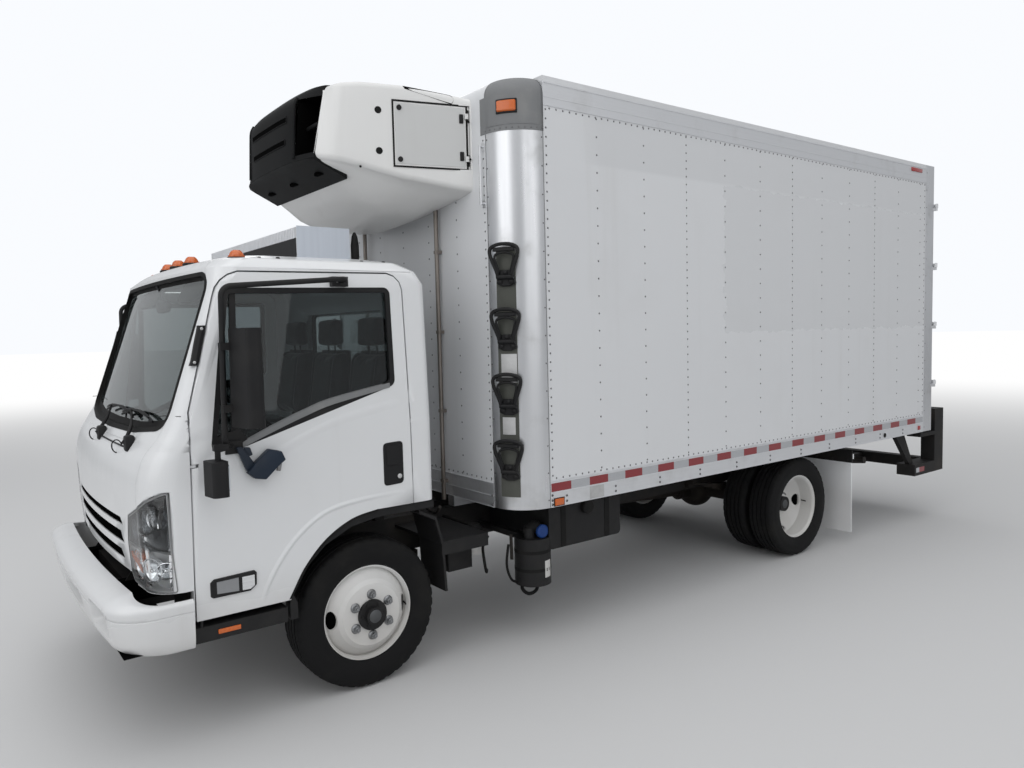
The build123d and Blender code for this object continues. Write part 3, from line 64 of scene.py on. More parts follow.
# Finishes
class Channel:
    """A value inside one finish. Sums and products of channels add Math nodes."""

    def __init__(self, finish, socket):
        self.finish = finish
        self.socket = socket

    def math(self, operation, other, swap=False):
        pair = [other, self] if swap else [self, other]
        return self.finish.node("ShaderNodeMath", {"operation": operation}, pair)

    def __add__(self, other):
        return self.math("ADD", other)

    __radd__ = __add__

    def __sub__(self, other):
        return self.math("SUBTRACT", other)

    def __rsub__(self, other):
        return self.math("SUBTRACT", other, swap=True)

    def __mul__(self, other):
        return self.math("MULTIPLY", other)

    __rmul__ = __mul__

    def __truediv__(self, other):
        return self.math("DIVIDE", other)

    def __pow__(self, other):
        return self.math("POWER", other)

    def least(self, other):
        return self.math("MINIMUM", other)

    def wrapped(self, step):
        return self.math("FLOORED_MODULO", step)

    def rise(self, low, high):
        """0 below low, 1 above high, and smooth between them."""
        span = {"Value": self, "From Min": low, "From Max": high}
        return self.finish.node("ShaderNodeMapRange", {"interpolation_type": "SMOOTHSTEP"}, span)

    def inside(self, low, high, blur):
        """1 between low and high, with soft ends."""
        return self.rise(low - blur, low + blur) * (1 - self.rise(high - blur, high + blur))


class Finish:
    """A procedural material: a principled shader, and the nodes that vary it."""

    def __init__(self, name, **constants):
        self.material = bpy.data.materials.new(name)
        self.material.use_nodes = True
        self.tree = self.material.node_tree
        self.tree.nodes.clear()
        self.out = self.tree.nodes.new("ShaderNodeOutputMaterial")
        self.shader = self.tree.nodes.new("ShaderNodeBsdfPrincipled")
        self.tree.links.new(self.shader.outputs[0], self.out.inputs[0])
        for key, value in constants.items():
            self.shader.inputs[key.replace("_", " ").title().replace("Ior", "IOR")].default_value = value
        coordinates = self.node("ShaderNodeTexCoord", {}, {}, "Object")
        self.place = self.node("ShaderNodeVectorMath", {}, [coordinates, (0, -FRONT_AXLE_Y, 0)])
        split = self.node("ShaderNodeSeparateXYZ", {}, [self.place])
        self.x = split
        self.y = Channel(self, split.socket.node.outputs[1])
        self.z = Channel(self, split.socket.node.outputs[2])

    def node(self, kind, settings=None, inputs=None, output=0):
        """Adds a node: its settings first, then the values or links of its sockets."""
        made = self.tree.nodes.new(kind)
        for key, value in (settings or {}).items():
            if key == "stops":
                ramp = made.color_ramp
                while len(ramp.elements) < len(value):
                    ramp.elements.new(0.5)
                for element, (position, colour) in zip(ramp.elements, value):
                    element.position = position
                    element.color = (*colour, 1)
            else:
                setattr(made, key, value)
        given = inputs or {}
        pairs = given.items() if isinstance(given, dict) else enumerate(given)
        for key, value in pairs:
            if isinstance(value, Channel):
                self.tree.links.new(value.socket, made.inputs[key])
            else:
                made.inputs[key].default_value = value
        return Channel(self, made.outputs[output])

    def noise(self, scale, detail=3.0, stretch=(1, 1, 1), roughness=0.55):
        place = self.node("ShaderNodeMapping", {}, {"Vector": self.place, "Scale": stretch})
        sizes = {"Vector": place, "Scale": scale, "Detail": detail, "Roughness": roughness}
        return self.node("ShaderNodeTexNoise", {}, sizes)

    def cells(self, scale, stretch=(1, 1, 1)):
        place = self.node("ShaderNodeMapping", {}, {"Vector": self.place, "Scale": stretch})
        return self.node("ShaderNodeTexVoronoi", {}, {"Vector": place, "Scale": scale})

    def blend(self, mask, first, second):
        """first where the mask is 0 and second where it is 1."""
        colours = [value if isinstance(value, Channel) else (*value, 1) for value in (first, second)]
        sockets = {0: mask, 6: colours[0], 7: colours[1]}
        return self.node("ShaderNodeMix", {"data_type": "RGBA"}, sockets, 2)

    def feed(self, key, value):
        self.tree.links.new(value.socket, self.shader.inputs[key])

    def colour(self, value):
        self.feed("Base Color", value)

    def rough(self, value):
        self.feed("Roughness", value)

    def relief(self, height, distance, strength=1.0):
        sockets = {"Strength": strength, "Distance": distance, "Height": height}
        self.feed("Normal", self.node("ShaderNodeBump", {}, sockets))


def white_paint(name, tint, grime, gloss, dirt_top, patch=False):
    """White enamel: faint streaks down the sheet, road film near the ground."""
    skin = Finish(name, coat_weight=0.25, coat_roughness=0.12)
    broad = skin.noise(1.6, 4)
    streaks = skin.noise(7.0, 5, (1, 1, 0.06))
    film = (1 - skin.z.rise(0.35, dirt_top)) * (broad * 0.7 + 0.3)
    dirt = (streaks.rise(0.55, 0.80) * 0.10 + film * 0.55 + broad.rise(0.52, 0.75) * 0.06).least(1)
    base = skin.blend(dirt, tint, grime)
    rough = gloss + broad * 0.10 + film * 0.25
    if patch:
        ragged = skin.noise(9.0, 5, (1, 1, 1)) * 0.16 - 0.08
        ghost = (skin.y + ragged).inside(2.67, 5.63, 0.01)
        ghost = ghost * (skin.z + ragged * 0.5).inside(1.85, 2.87, 0.01)
        band = skin.z.rise(2.86, 2.89) * skin.y.rise(1.3, 1.5)
        worn = (ghost * 0.65 + band * 0.75).least(1)
        base = skin.blend(worn, base, [value * 0.905 for value in tint])
        rough = rough - ghost * 0.16
    skin.colour(base)
    skin.rough(rough)
    ripple = skin.noise(2.2, 1) * 0.8 + skin.noise(160, 2) * 0.012
    skin.relief(ripple, 0.004, 0.35)
    return skin.material


def metal(name, tint, roughness, brushed, wear=(0.42, 0.42, 0.41)):
    """Bare aluminium with fine brushing along one direction and grey scuffs."""
    skin = Finish(name, metallic=1.0)
    lines = skin.noise(46, 3, brushed)
    scuffs = skin.noise(3.1, 5)
    skin.colour(skin.blend(scuffs.rise(0.50, 0.78) * 0.6 + lines * 0.2, tint, wear))
    skin.rough(roughness + lines * 0.22 + scuffs.rise(0.5, 0.8) * 0.2)
    skin.relief(lines, 0.0008, 0.25)
    return skin.material


def moulding(name, tint, dust, roughness, grain, dusting=0.35, shine=0.28):
    """Grained plastic or painted steel with dust in its hollows."""
    skin = Finish(name, specular_ior_level=shine)
    patchy = skin.noise(5.0, 5)
    low = 1 - skin.z.rise(0.3, 1.3)
    dusty = patchy.rise(0.42, 0.75) * dusting + low * dusting * 0.5
    skin.colour(skin.blend(dusty.least(1), tint, dust))
    skin.rough(roughness + patchy * 0.18)
    skin.relief(skin.noise(grain, 2), 0.0006, 0.4)
    return skin.material


def glazing(name, tint, roughness):
    """Clear sheet with a faint film on it."""
    skin = Finish(name, transmission_weight=1.0, ior=1.42)
    film = skin.noise(3.0, 4)
    skin.colour(skin.blend(film * 0.25, tint, [value * 0.86 for value in tint]))
    skin.rough(film.rise(0.45, 0.9) * 0.03 + roughness)
    return skin.material


def lens(name, tint, deep, pitch):
    """Moulded lamp lens with fine upright flutes."""
    skin = Finish(name, coat_weight=0.5, specular_ior_level=0.6)
    flutes = (skin.y + skin.x).wrapped(pitch) / pitch
    skin.colour(skin.blend((flutes - 0.5) ** 2 * 3.0 + skin.noise(20, 2) * 0.2, tint, deep))
    skin.rough(0.14 + skin.noise(9, 3) * 0.12)
    skin.relief((flutes - 0.5) ** 2, 0.002, 0.5)
    return skin.material


def rubber(name, tint, dust):
    """Tyre rubber: dust low on the sidewall, faint rings and a soft sheen."""
    skin = Finish(name, specular_ior_level=0.22)
    patchy = skin.noise(6.0, 5)
    skin.colour(skin.blend(patchy.rise(0.40, 0.80) * 0.55, tint, dust))
    skin.rough(0.62 + patchy * 0.22)
    skin.relief(skin.noise(240, 2) * 0.4 + skin.noise(34, 3) * 0.6, 0.0008, 0.5)
    return skin.material


def cloth(name, tint, light, thread):
    """Woven seat cloth: two crossing threads, with a soft nap."""
    skin = Finish(name, sheen_weight=0.3, sheen_roughness=0.5)
    across = skin.x.wrapped(thread) / thread
    along = (skin.y + skin.z).wrapped(thread) / thread
    weave = (across - 0.5) ** 2 + (along - 0.5) ** 2
    skin.colour(skin.blend(weave * 1.4 + skin.noise(40, 3) * 0.3, tint, light))
    skin.rough(0.82 + skin.noise(12, 2) * 0.12)
    skin.relief(weave, 0.001, 0.6)
    return skin.material


def reflective_tape():
    """Red and silver lengths in turn, with a fine honeycomb."""
    skin = Finish("reflective_tape", coat_weight=0.4, specular_ior_level=0.6)
    run = (skin.y - 1.048).wrapped(0.3048)
    red = run.inside(0.0, 0.155, 0.0015)
    comb = skin.cells(180)
    tone = skin.blend(comb.rise(0.2, 0.7) * 0.3, (0.42, 0.43, 0.45), (0.32, 0.33, 0.35))
    deep = skin.blend(comb.rise(0.2, 0.7) * 0.4, (0.26, 0.012, 0.018), (0.14, 0.007, 0.010))
    skin.colour(skin.blend(red, tone, deep))
    skin.rough(0.28 + skin.noise(14, 3) * 0.2)
    return skin.material


def chrome_bowl():
    """Bright reflector with stepped facets."""
    skin = Finish("reflector", metallic=1.0)
    steps = skin.x.wrapped(0.016) * 30 + skin.z.wrapped(0.02) * 22
    skin.colour(skin.blend(steps.least(1) * 0.4, (0.88, 0.89, 0.90), (0.55, 0.56, 0.58)))
    skin.rough(0.10 + skin.noise(30, 2) * 0.1)
    skin.relief(steps, 0.004, 0.5)
    return skin.material


WHITE = (0.74, 0.75, 0.76)
finishes = {
    "body_paint": white_paint(
        "body_paint", (0.70, 0.71, 0.725), (0.42, 0.40, 0.37), 0.30, 0.9, patch=True
    ),
    "cab_paint": white_paint("cab_paint", WHITE, (0.40, 0.37, 0.33), 0.16, 0.85),
    "unit_shell": white_paint("unit_shell", (0.73, 0.73, 0.72), (0.40, 0.38, 0.34), 0.28, 0.4),
    "wheel_paint": white_paint("wheel_paint", (0.77, 0.77, 0.76), (0.40, 0.37, 0.33), 0.32, 0.75),
    # The mudflaps' white is lighter than the other whites: painted light on their shaded front faces
    "mudflap_sheet": white_paint("mudflap_sheet", (0.90, 0.91, 0.92), (0.46, 0.44, 0.42), 0.45, 0.6),
    # black_plastic, chassis_paint and axle_steel are set darker than their black paint, as painted shade
    # for the deep shade under the cab
    "black_plastic": moulding(
        "black_plastic", (0.009, 0.009, 0.010), (0.040, 0.038, 0.035), 0.46, 420, 0.3
    ),
    "grey_plastic": moulding("grey_plastic", (0.20, 0.205, 0.21), (0.30, 0.30, 0.29), 0.45, 300, 0.4),
    "chassis_paint": moulding(
        "chassis_paint", (0.008, 0.008, 0.009), (0.050, 0.043, 0.036), 0.55, 90, 0.4
    ),
    "axle_steel": moulding("axle_steel", (0.011, 0.010, 0.010), (0.060, 0.050, 0.040), 0.62, 70, 0.5),
    "cast_iron": moulding("cast_iron", (0.03, 0.028, 0.026), (0.10, 0.075, 0.055), 0.68, 60, 0.7),
    "interior_trim": moulding("interior_trim", (0.055, 0.056, 0.06), (0.10, 0.10, 0.10), 0.6, 260, 0.3),
    "polished_aluminium": metal("polished_aluminium", (0.74, 0.75, 0.77), 0.20, (1, 1, 0.03)),
    "mill_aluminium": metal("mill_aluminium", (0.80, 0.81, 0.83), 0.42, (1, 0.03, 1), (0.62, 0.62, 0.62)),
    "window_glass": glazing("window_glass", (0.52, 0.58, 0.57), 0.0),
    "lamp_glass": glazing("lamp_glass", (0.95, 0.97, 0.98), 0.02),
    "amber_lens": lens("amber_lens", (0.72, 0.15, 0.01), (0.36, 0.05, 0.004), 0.006),
    "tyre_rubber": rubber("tyre_rubber", (0.006, 0.006, 0.0065), (0.021, 0.020, 0.018)),
    "rubber_parts": rubber("rubber_parts", (0.007, 0.007, 0.007), (0.026, 0.024, 0.022)),
    "seat_cloth": cloth("seat_cloth", (0.030, 0.031, 0.034), (0.075, 0.075, 0.078), 0.006),
}
tape_finish = reflective_tape()
reflector_finish = chrome_bowl()
red_lens = lens("red_lens", (0.45, 0.012, 0.012), (0.16, 0.004, 0.004), 0.006)
smoked_lens = lens("smoked_lens", (0.30, 0.31, 0.32), (0.12, 0.12, 0.13), 0.004)
mirror_finish = metal("mirror_silver", (0.62, 0.66, 0.70), 0.02, (1, 1, 1), (0.55, 0.58, 0.62))
nut_finish = metal("nut_steel", (0.30, 0.31, 0.32), 0.34, (1, 1, 1), (0.14, 0.12, 0.10))
hub_steel = metal("hub_steel", (0.13, 0.135, 0.14), 0.38, (1, 1, 1), (0.07, 0.065, 0.06))
nose_grey = moulding("nose_grey", (0.009, 0.0095, 0.010), (0.022, 0.021, 0.020), 0.50, 240, shine=0.10)
smoked_pane = glazing("smoked_pane", (0.40, 0.41, 0.42), 0.02)
# Near-black for painted shade: sheets set in wells, openings and recesses stand for the shade inside them
void_black = moulding("void_black", (0.002, 0.002, 0.002), (0.005, 0.005, 0.005), 0.9, 200, 0.2, 0.02)
blue_cap = moulding("blue_cap", (0.01, 0.05, 0.22), (0.05, 0.08, 0.16), 0.35, 200, 0.2)
box_blue = moulding("key_box_blue", (0.012, 0.022, 0.040), (0.035, 0.038, 0.042), 0.38, 160, shine=0.3)
silver_label = metal("silver_label", (0.66, 0.66, 0.66), 0.5, (1, 1, 1))
# Dark grey heads: painted shade on the rivet, screw and bolt heads
rivet_painted_shade = metal("rivet_metal", (0.24, 0.24, 0.245), 0.42, (1, 1, 1), (0.10, 0.10, 0.10))
strip_finish = moulding("strip_plastic", (0.075, 0.078, 0.068), (0.14, 0.14, 0.125), 0.5, 260, 0.4)
panel_finish = white_paint("panel_paint", (0.56, 0.565, 0.56), (0.34, 0.32, 0.29), 0.30, 0.4)
steel_pipe = metal("drain_pipe", (0.30, 0.27, 0.245), 0.38, (1, 1, 0.05), (0.16, 0.14, 0.12))
white_can = white_paint("white_can", (0.70, 0.70, 0.69), (0.34, 0.32, 0.28), 0.3, 0.9)
plate_finish = metal("plate_metal", (0.62, 0.66, 0.72), 0.42, (1, 1, 0.04), (0.50, 0.53, 0.57))
NODES_BY_FINISH = {
    "mill_aluminium": "body_floor body_rails roof_deflector",
    "body_paint": "body_front_wall body_roof body_side_walls left_rear_door right_rear_door",
    "chassis_paint": "cab_floor chassis_frame rear_bumper",
    "cab_paint": "cab_front_panel cab_roof cab_sides front_bumper left_door right_door",
    "window_glass": "cab_glass left_door_glass right_door_glass",
    "black_plastic": (
        "cab_sills climbing_steps left_mirror right_mirror side_tanks steering_wheel step_plates "
        "unit_nose"
    ),
    "grey_plastic": "corner_caps",
    "polished_aluminium": "corner_posts rear_frame",
    "interior_trim": "dashboard",
    "axle_steel": "drain_hoses exhaust front_axle leaf_springs propeller_shaft rear_axle",
    "cast_iron": "engine left_knuckle right_knuckle",
    "wheel_paint": "front_left_rim front_right_rim rear_left_rims rear_right_rims",
    "tyre_rubber": "front_left_tyre front_right_tyre rear_left_tyres rear_right_tyres",
    "lamp_glass": "headlamps",
    "mudflap_sheet": "mudflaps",
    "amber_lens": "roof_lamps",
    "seat_cloth": "seats",
    "unit_shell": "unit_door unit_housing",
}
for finish_name, node_names in NODES_BY_FINISH.items():
    for name in node_names.split():
        node_mesh = nodes[name].data
        node_mesh.materials.clear()
        node_mesh.materials.append(finishes[finish_name])
nodes["drain_hoses"].data.materials[0] = steel_pipe
tinted = glazing("door_tint", (0.36, 0.41, 0.42), 0.0)
for node in ("left_door_glass", "right_door_glass"):
    nodes[node].data.materials[0] = tinted


# Shapes
MIRROR = Matrix.Scale(-1, 4, (1, 0, 0))


def rounded(points, steps=6):
    """A smooth line through the given points."""
    ends = [points[0]] + list(points) + [points[-1]]
    line = []
    for i in range(1, len(ends) - 2):
        a, b, c, d = (Vector(ends[i + k]) for k in (-1, 0, 1, 2))
        for step in range(steps):
            t = step / steps
            curved = (2 * a - 5 * b + 4 * c - d) * t * t + (3 * b - a - 3 * c + d) * t**3
            line.append(0.5 * ((2 * b) + (c - a) * t + curved))
    line.append(Vector(points[-1]))
    return line


def oval(width, height, count=24, power=2.0):
    """A rounded outline about (0, 0); a higher power makes it squarer."""
    outline = []
    for i in range(count):
        angle = 2 * pi * i / count
        c, s = cos(angle), sin(angle)
        x = copysign(abs(c) ** (2 / power), c) * width / 2
        outline.append((x, copysign(abs(s) ** (2 / power), s) * height / 2))
    return outline


class Shape:
    """A mesh in the making; y counts from the front axle. Adding a part returns the shape."""

    def __init__(self):
        self.bm = bmesh.new()

    def skin(self, rings, loop=False):
        """Joins closed rings of points in turn; the ends are capped unless the rings loop."""
        rows = [[self.bm.verts.new(point) for point in ring] for ring in rings]
        count = len(rows[0])
        pairs = list(zip(rows, rows[1:] + ([rows[0]] if loop else [])))
        made = []
        for low, high in pairs:
            for i in range(count):
                j = (i + 1) % count
                made.append(self.bm.faces.new((low[i], low[j], high[j], high[i])))
        if not loop:
            made.append(self.bm.faces.new(list(reversed(rows[0]))))
            made.append(self.bm.faces.new(rows[-1]))
        return made

    def prism(self, axis, outline, low, high, edge=0.0, segments=2):
        """An outline carried along an axis: (y, z) for x, (x, z) for y, (x, y) for z."""
        place = {
            "x": lambda u, v, w: (w, u, v),
            "y": lambda u, v, w: (u, w, v),
            "z": lambda u, v, w: (u, v, w),
        }[axis]
        faces = self.skin([[place(u, v, w) for u, v in outline] for w in (low, high)])
        bmesh.ops.recalc_face_normals(self.bm, faces=faces)
        if edge:
            edges = {e for face in faces for e in face.edges if e.calc_face_angle(0) > 0.5}
            bmesh.ops.bevel(
                self.bm, geom=list(edges), offset=edge, segments=segments, affect="EDGES", profile=0.5
            )
        return self

    def slab(self, x0, x1, y0, y1, z0, z1, edge=0.0, segments=2):
        return self.prism("z", [(x0, y0), (x1, y0), (x1, y1), (x0, y1)], z0, z1, edge, segments)

    def tube(self, points, radius, sides=10, loop=False):
        """A round bar along a line of points."""
        line = [Vector(point) for point in points]
        count = len(line)
        rings = []
        side = None
        for i, point in enumerate(line):
            before = line[(i - 1) % count] if loop or i else line[0]
            after = line[(i + 1) % count] if loop or i < count - 1 else line[-1]
            ahead = (after - before).normalized()
            if side is None:
                side = ahead.orthogonal().normalized()
            side = (side - ahead * side.dot(ahead)).normalized()
            up = ahead.cross(side)
            r = radius[i] if isinstance(radius, (list, tuple)) else radius
            turns = [2 * pi * k / sides for k in range(sides)]
            rings.append([point + side * cos(a) * r + up * sin(a) * r for a in turns])
        self.skin(rings, loop)
        return self

    def lathe(self, axis, centre, profile, segments=24, notch=None):
        """Spins a profile of (along, radius) about an axis through centre; a closed profile is a ring."""
        cx, cy, cz = centre
        closed = profile[0] == profile[-1]
        points = profile[:-1] if closed else profile
        rings = []
        for along, radius in points:
            ring = []
            for k in range(segments):
                angle = 2 * pi * k / segments
                r = radius - (notch(along, radius, k) if notch else 0)
                c, s = r * cos(angle), r * sin(angle)
                ring.append(
                    {
                        "x": (cx + along, cy + c, cz + s),
                        "y": (cx + c, cy + along, cz + s),
                        "z": (cx + c, cy + s, cz + along),
                    }[axis]
                )
            rings.append(ring)
        self.skin(rings, closed)
        return self

    def add(self, other, place=None):
        """Takes in a copy of another shape, moved by a matrix."""
        mesh = bpy.data.meshes.new("part")
        other.bm.to_mesh(mesh)
        if place is not None:
            mesh.transform(place)
        self.bm.from_mesh(mesh)
        bpy.data.meshes.remove(mesh)
        return self

    def mirrored(self):
        """The same shape and its twin on the truck's other side."""
        return Shape().add(self).add(self, MIRROR)

    def other_side(self):
        """The shape's twin alone."""
        return Shape().add(self, MIRROR)

    def mesh(self, name, angle=32):
        bmesh.ops.remove_doubles(self.bm, verts=self.bm.verts, dist=0.00002)
        bmesh.ops.recalc_face_normals(self.bm, faces=self.bm.faces)
        bmesh.ops.translate(self.bm, verts=self.bm.verts, vec=(0, FRONT_AXLE_Y, 0))
        made = bpy.data.meshes.new(name)
        self.bm.to_mesh(made)
        made.shade_smooth()
        made.set_sharp_from_angle(angle=radians(angle))
        return made


def added(name, data):
    """A new object in the scene."""
    made = bpy.data.objects.new(name, data)
    bpy.context.scene.collection.objects.link(made)
    return made


def piece(name, shape, body, finish, angle=32):
    """Turns a shape into an object with its finish, riding on a body."""
    mesh = shape.mesh(name, angle) if isinstance(shape, Shape) else shape
    made = added(name, mesh)
    mesh.materials.clear()
    mesh.materials.append(finishes[finish] if isinstance(finish, str) else finish)
    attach(made, body)
    return made


def evaluated_mesh(thing):
    """The mesh that an object's modifiers make of it."""
    bpy.context.view_layer.update()
    seen = thing.evaluated_get(bpy.context.evaluated_depsgraph_get())
    return bpy.data.meshes.new_from_object(seen)


# Rows of fasteners, made by one node tree
def fastener_tree():
    """Sets a turned head on every step along the mesh's edges, facing along the attribute named out."""
    tree = bpy.data.node_groups.new("fastener_rows", "GeometryNodeTree")
    face = tree.interface
    face.new_socket(name="Rows", in_out="INPUT", socket_type="NodeSocketGeometry")
    for name, size in (("Spacing", RIVET_PITCH), ("Head radius", 0.008), ("Head height", 0.003)):
        face.new_socket(name=name, in_out="INPUT", socket_type="NodeSocketFloat").default_value = size
    face.new_socket(name="Head sides", in_out="INPUT", socket_type="NodeSocketInt").default_value = 8
    face.new_socket(name="Finish", in_out="INPUT", socket_type="NodeSocketMaterial")
    face.new_socket(name="Heads", in_out="OUTPUT", socket_type="NodeSocketGeometry")
    add = tree.nodes.new
    given = add("NodeGroupInput")
    curve = add("GeometryNodeMeshToCurve")
    spaced = add("GeometryNodeResampleCurve")
    spaced.mode = "LENGTH"
    outward = add("GeometryNodeInputNamedAttribute")
    outward.data_type = "FLOAT_VECTOR"
    outward.inputs["Name"].default_value = "out"
    turn = add("FunctionNodeAlignRotationToVector")
    turn.axis = "Z"
    head = add("GeometryNodeMeshCone")
    crown = add("ShaderNodeMath")
    crown.operation = "MULTIPLY"
    crown.inputs[1].default_value = 0.55
    place = add("GeometryNodeInstanceOnPoints")
    smooth = add("GeometryNodeSetShadeSmooth")
    real = add("GeometryNodeRealizeInstances")
    paint = add("GeometryNodeSetMaterial")
    result = add("NodeGroupOutput")
    for source, output, target, entry in (
        (given, "Rows", curve, "Mesh"),
        (curve, "Curve", spaced, "Curve"),
        (given, "Spacing", spaced, "Length"),
        (spaced, "Curve", place, "Points"),
        (outward, "Attribute", turn, "Vector"),
        (turn, "Rotation", place, "Rotation"),
        (given, "Head radius", head, "Radius Bottom"),
        (given, "Head radius", crown, 0),
        (crown, 0, head, "Radius Top"),
        (given, "Head height", head, "Depth"),
        (given, "Head sides", head, "Vertices"),
        (head, "Mesh", smooth, "Geometry"),
        (smooth, "Geometry", place, "Instance"),
        (place, "Instances", real, "Geometry"),
        (real, "Geometry", paint, "Geometry"),
        (given, "Finish", paint, "Material"),
        (paint, "Geometry", result, "Heads"),
    ):
        tree.links.new(source.outputs[output], target.inputs[entry])
    return tree


fasteners = fastener_tree()


def fastener_rows(name, rows, spacing, radius, height, body, finish, sides=8):
    """rows: lists of (points, outward direction)."""
    mesh = bpy.data.meshes.new(name + "_rows")
    points = []
    edges = []
    outward = []
    for line, facing in rows:
        start = len(points)
        facings = facing if isinstance(facing, list) else [facing] * len(line)
        for point, direction in zip(line, facings):
            points.append((point[0], point[1] + FRONT_AXLE_Y, point[2]))
            outward.extend(direction)
        edges.extend((start + i, start + i + 1) for i in range(len(line) - 1))
    mesh.from_pydata(points, edges, [])
    mesh.attributes.new("out", "FLOAT_VECTOR", "POINT").data.foreach_set("vector", outward)
    guide = added(name + "_rows", mesh)
    modifier = guide.modifiers.new("heads", "NODES")
    modifier.node_group = fasteners
    material = finishes[finish] if isinstance(finish, str) else finish
    sizes = {
        "Spacing": spacing,
        "Head radius": radius,
        "Head height": height,
        "Head sides": sides,
        "Finish": material,
    }
    for item in fasteners.interface.items_tree:
        if item.name in sizes:
            modifier[item.identifier] = sizes[item.name]
    heads = evaluated_mesh(guide)
    bpy.data.objects.remove(guide)
    return piece(name, heads, body, finish)


# Wheels
def tyre(shape, x):
    """One tyre with four grooves round its tread and notched shoulders."""
    rim = 0.2505
    side = [(-0.084, rim), (-0.098, 0.262), (-0.107, 0.285), (-0.1120, 0.318), (-0.1125, 0.330)]
    side = side + [(-0.1115, 0.345), (-0.108, 0.362), (-0.1085, 0.366), (-0.104, 0.380), (-0.0985, 0.391)]
    half = side + [(-0.094, 0.3955), (-0.088, 0.3985), (-0.070, 0.4015), (-0.064, 0.402)]
    for centre in (-0.0585, -0.0195):
        half += [(centre - 0.0052, 0.4028), (centre - 0.0040, 0.3935), (centre + 0.0040, 0.3935)]
        half += [(centre + 0.0052, 0.4033), (centre + 0.018, 0.4040)]
    profile = half + [(-along, radius) for along, radius in reversed(half)]
    profile.append(profile[0])

    def notch(along, radius, k):
        shoulder = 0.070 < abs(along) < 0.100 and radius > 0.388
        rib = abs(along) < 0.066 and radius > 0.400
        if shoulder and k % 4 == 0:
            return 0.006
        if rib and k % 3 == 0:
            return 0.0022
        return 0

    shape.lathe("x", (x, 0, 0), profile, 168, notch)


def moved(shape, x=0.0, y=0.0, z=0.0):
    """A copy of the shape elsewhere."""
    return Shape().add(shape, Matrix.Translation((x, y, z)))


for side, sign in SIDES:
    rubber_ring = Shape()
    tyre(rubber_ring, 0)
    front = moved(rubber_ring, sign * FRONT_WHEEL_X, 0, WHEEL_Z)
    made = piece(f"front_{side}_tyre_tread", front, f"front_wheel_{side}", "tyre_rubber", angle=26)
    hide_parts(f"front_{side}_tyre")
    pair = Shape()
    for x in REAR_WHEELS_X:
        pair.add(rubber_ring, Matrix.Translation((sign * x, REAR_AXLE_Y, WHEEL_Z)))
    made = piece(f"rear_{side}_tyre_treads", pair, f"rear_wheels_{side}", "tyre_rubber", angle=26)
    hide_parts(f"rear_{side}_tyres")


# Body rivets: the columns' ends on the sides and on the front wall
SIDE_LOW_Z = 1.045
SIDE_HIGH_Z = 3.145
FRONT_LOW_Z = 1.03
FRONT_HIGH_Z = 2.99


def body_rivets():
    """Loose columns inside each panel, close rows along its edges."""
    loose = []
    close = []
    last = POST_Y - 0.02
    for x, facing in ((BODY_X, (1, 0, 0)), (-BODY_X, (-1, 0, 0))):
        for number in range(11):
            y = FIRST_COLUMN_Y + RIVET_COLUMN * number
            target = close if number in (2, 5, 8) else loose
            target.append(([(x, y, SIDE_LOW_Z), (x, y, SIDE_HIGH_Z)], facing))
        close.append(([(x, CORNER_Y + 0.022, SIDE_LOW_Z), (x, CORNER_Y + 0.022, SIDE_HIGH_Z)], facing))
        close.append(([(x, last, SIDE_LOW_Z), (x, last, SIDE_HIGH_Z)], facing))
        close.append(([(x, CORNER_Y + 0.05, 1.028), (x, last, 1.028)], facing))
        close.append(([(x, CORNER_Y + 0.05, 3.153), (x, last, 3.153)], facing))
    nose = (0, -1, 0)
    for x in (-0.960, 0.960):
        close.append(([(x, BODY_NOSE_Y, FRONT_LOW_Z), (x, BODY_NOSE_Y, FRONT_HIGH_Z)], nose))
    for x in (-0.66, -0.33, 0.0, 0.33, 0.66):
        loose.append(([(x, BODY_NOSE_Y, FRONT_LOW_Z), (x, BODY_NOSE_Y, FRONT_HIGH_Z)], nose))
    close.append(([(-0.96, BODY_NOSE_Y, 1.022), (0.96, BODY_NOSE_Y, 1.022)], nose))
    fastener_rows(
        "panel_rivets_close", close, RIVET_PITCH, RIVET_RADIUS, RIVET_HEIGHT, "chassis", rivet_painted_shade,
    )
    fastener_rows(
        "panel_rivets", loose, 2 * RIVET_PITCH, RIVET_RADIUS, RIVET_HEIGHT, "chassis", rivet_painted_shade,
    )


body_rivets()

# The cab's skin: (height, nose middle, nose edge, half width, corner along x, corner along y)
CAB_SKIN = [
    (0.600, -1.105, -1.062, 1.000, 0.160, 0.140),
    (0.950, -1.138, -1.092, 1.000, 0.160, 0.140),
    (1.240, -1.146, -1.098, 1.000, 0.160, 0.140),
    (1.390, -1.100, -1.052, 1.000, 0.150, 0.125),
    (1.440, -1.030, -0.990, 0.999, 0.120, 0.095),
    (2.160, -0.778, -0.748, 0.966, 0.110, 0.090),
    (2.230, -0.775, -0.735, 0.952, 0.130, 0.110),
    (2.276, -0.722, -0.680, 0.905, 0.150, 0.130),
    (2.304, -0.590, -0.550, 0.770, 0.160, 0.140),
]


def between(table, where):
    """The values of a table at a place between its rows; the first column says where a row lies."""
    for low, high in zip(table, table[1:]):
        if where <= high[0]:
            break
    share = min(1, max(0, (where - low[0]) / (high[0] - low[0])))
    return [a + (b - a) * share for a, b in zip(low[1:], high[1:])]


def cab_section(z):
    """The cab's plan at a height."""
    return between(CAB_SKIN, z)


def soft_section(z):
    """The same, with the bend between nose and windscreen rounded off."""
    if not 1.16 < z < 1.52:
        return cab_section(z)
    near = [cab_section(z + 0.055 * k / 4) for k in range(-4, 5)]
    return [sum(values) / 9 for values in zip(*near)]


def on_front(x, z, inset):
    """A point on the cab's nose or windscreen, seen from the front."""
    middle, edge, half, corner_x, corner_y = soft_section(z)
    straight = half - corner_x
    if abs(x) <= straight:
        return (x, middle + (edge - middle) * (x / straight) ** 2 + inset, z)
    across = min(1, (abs(x) - straight) / (corner_x - inset))
    return (x, edge + corner_y - (corner_y - inset) * sqrt(1 - across**2), z)


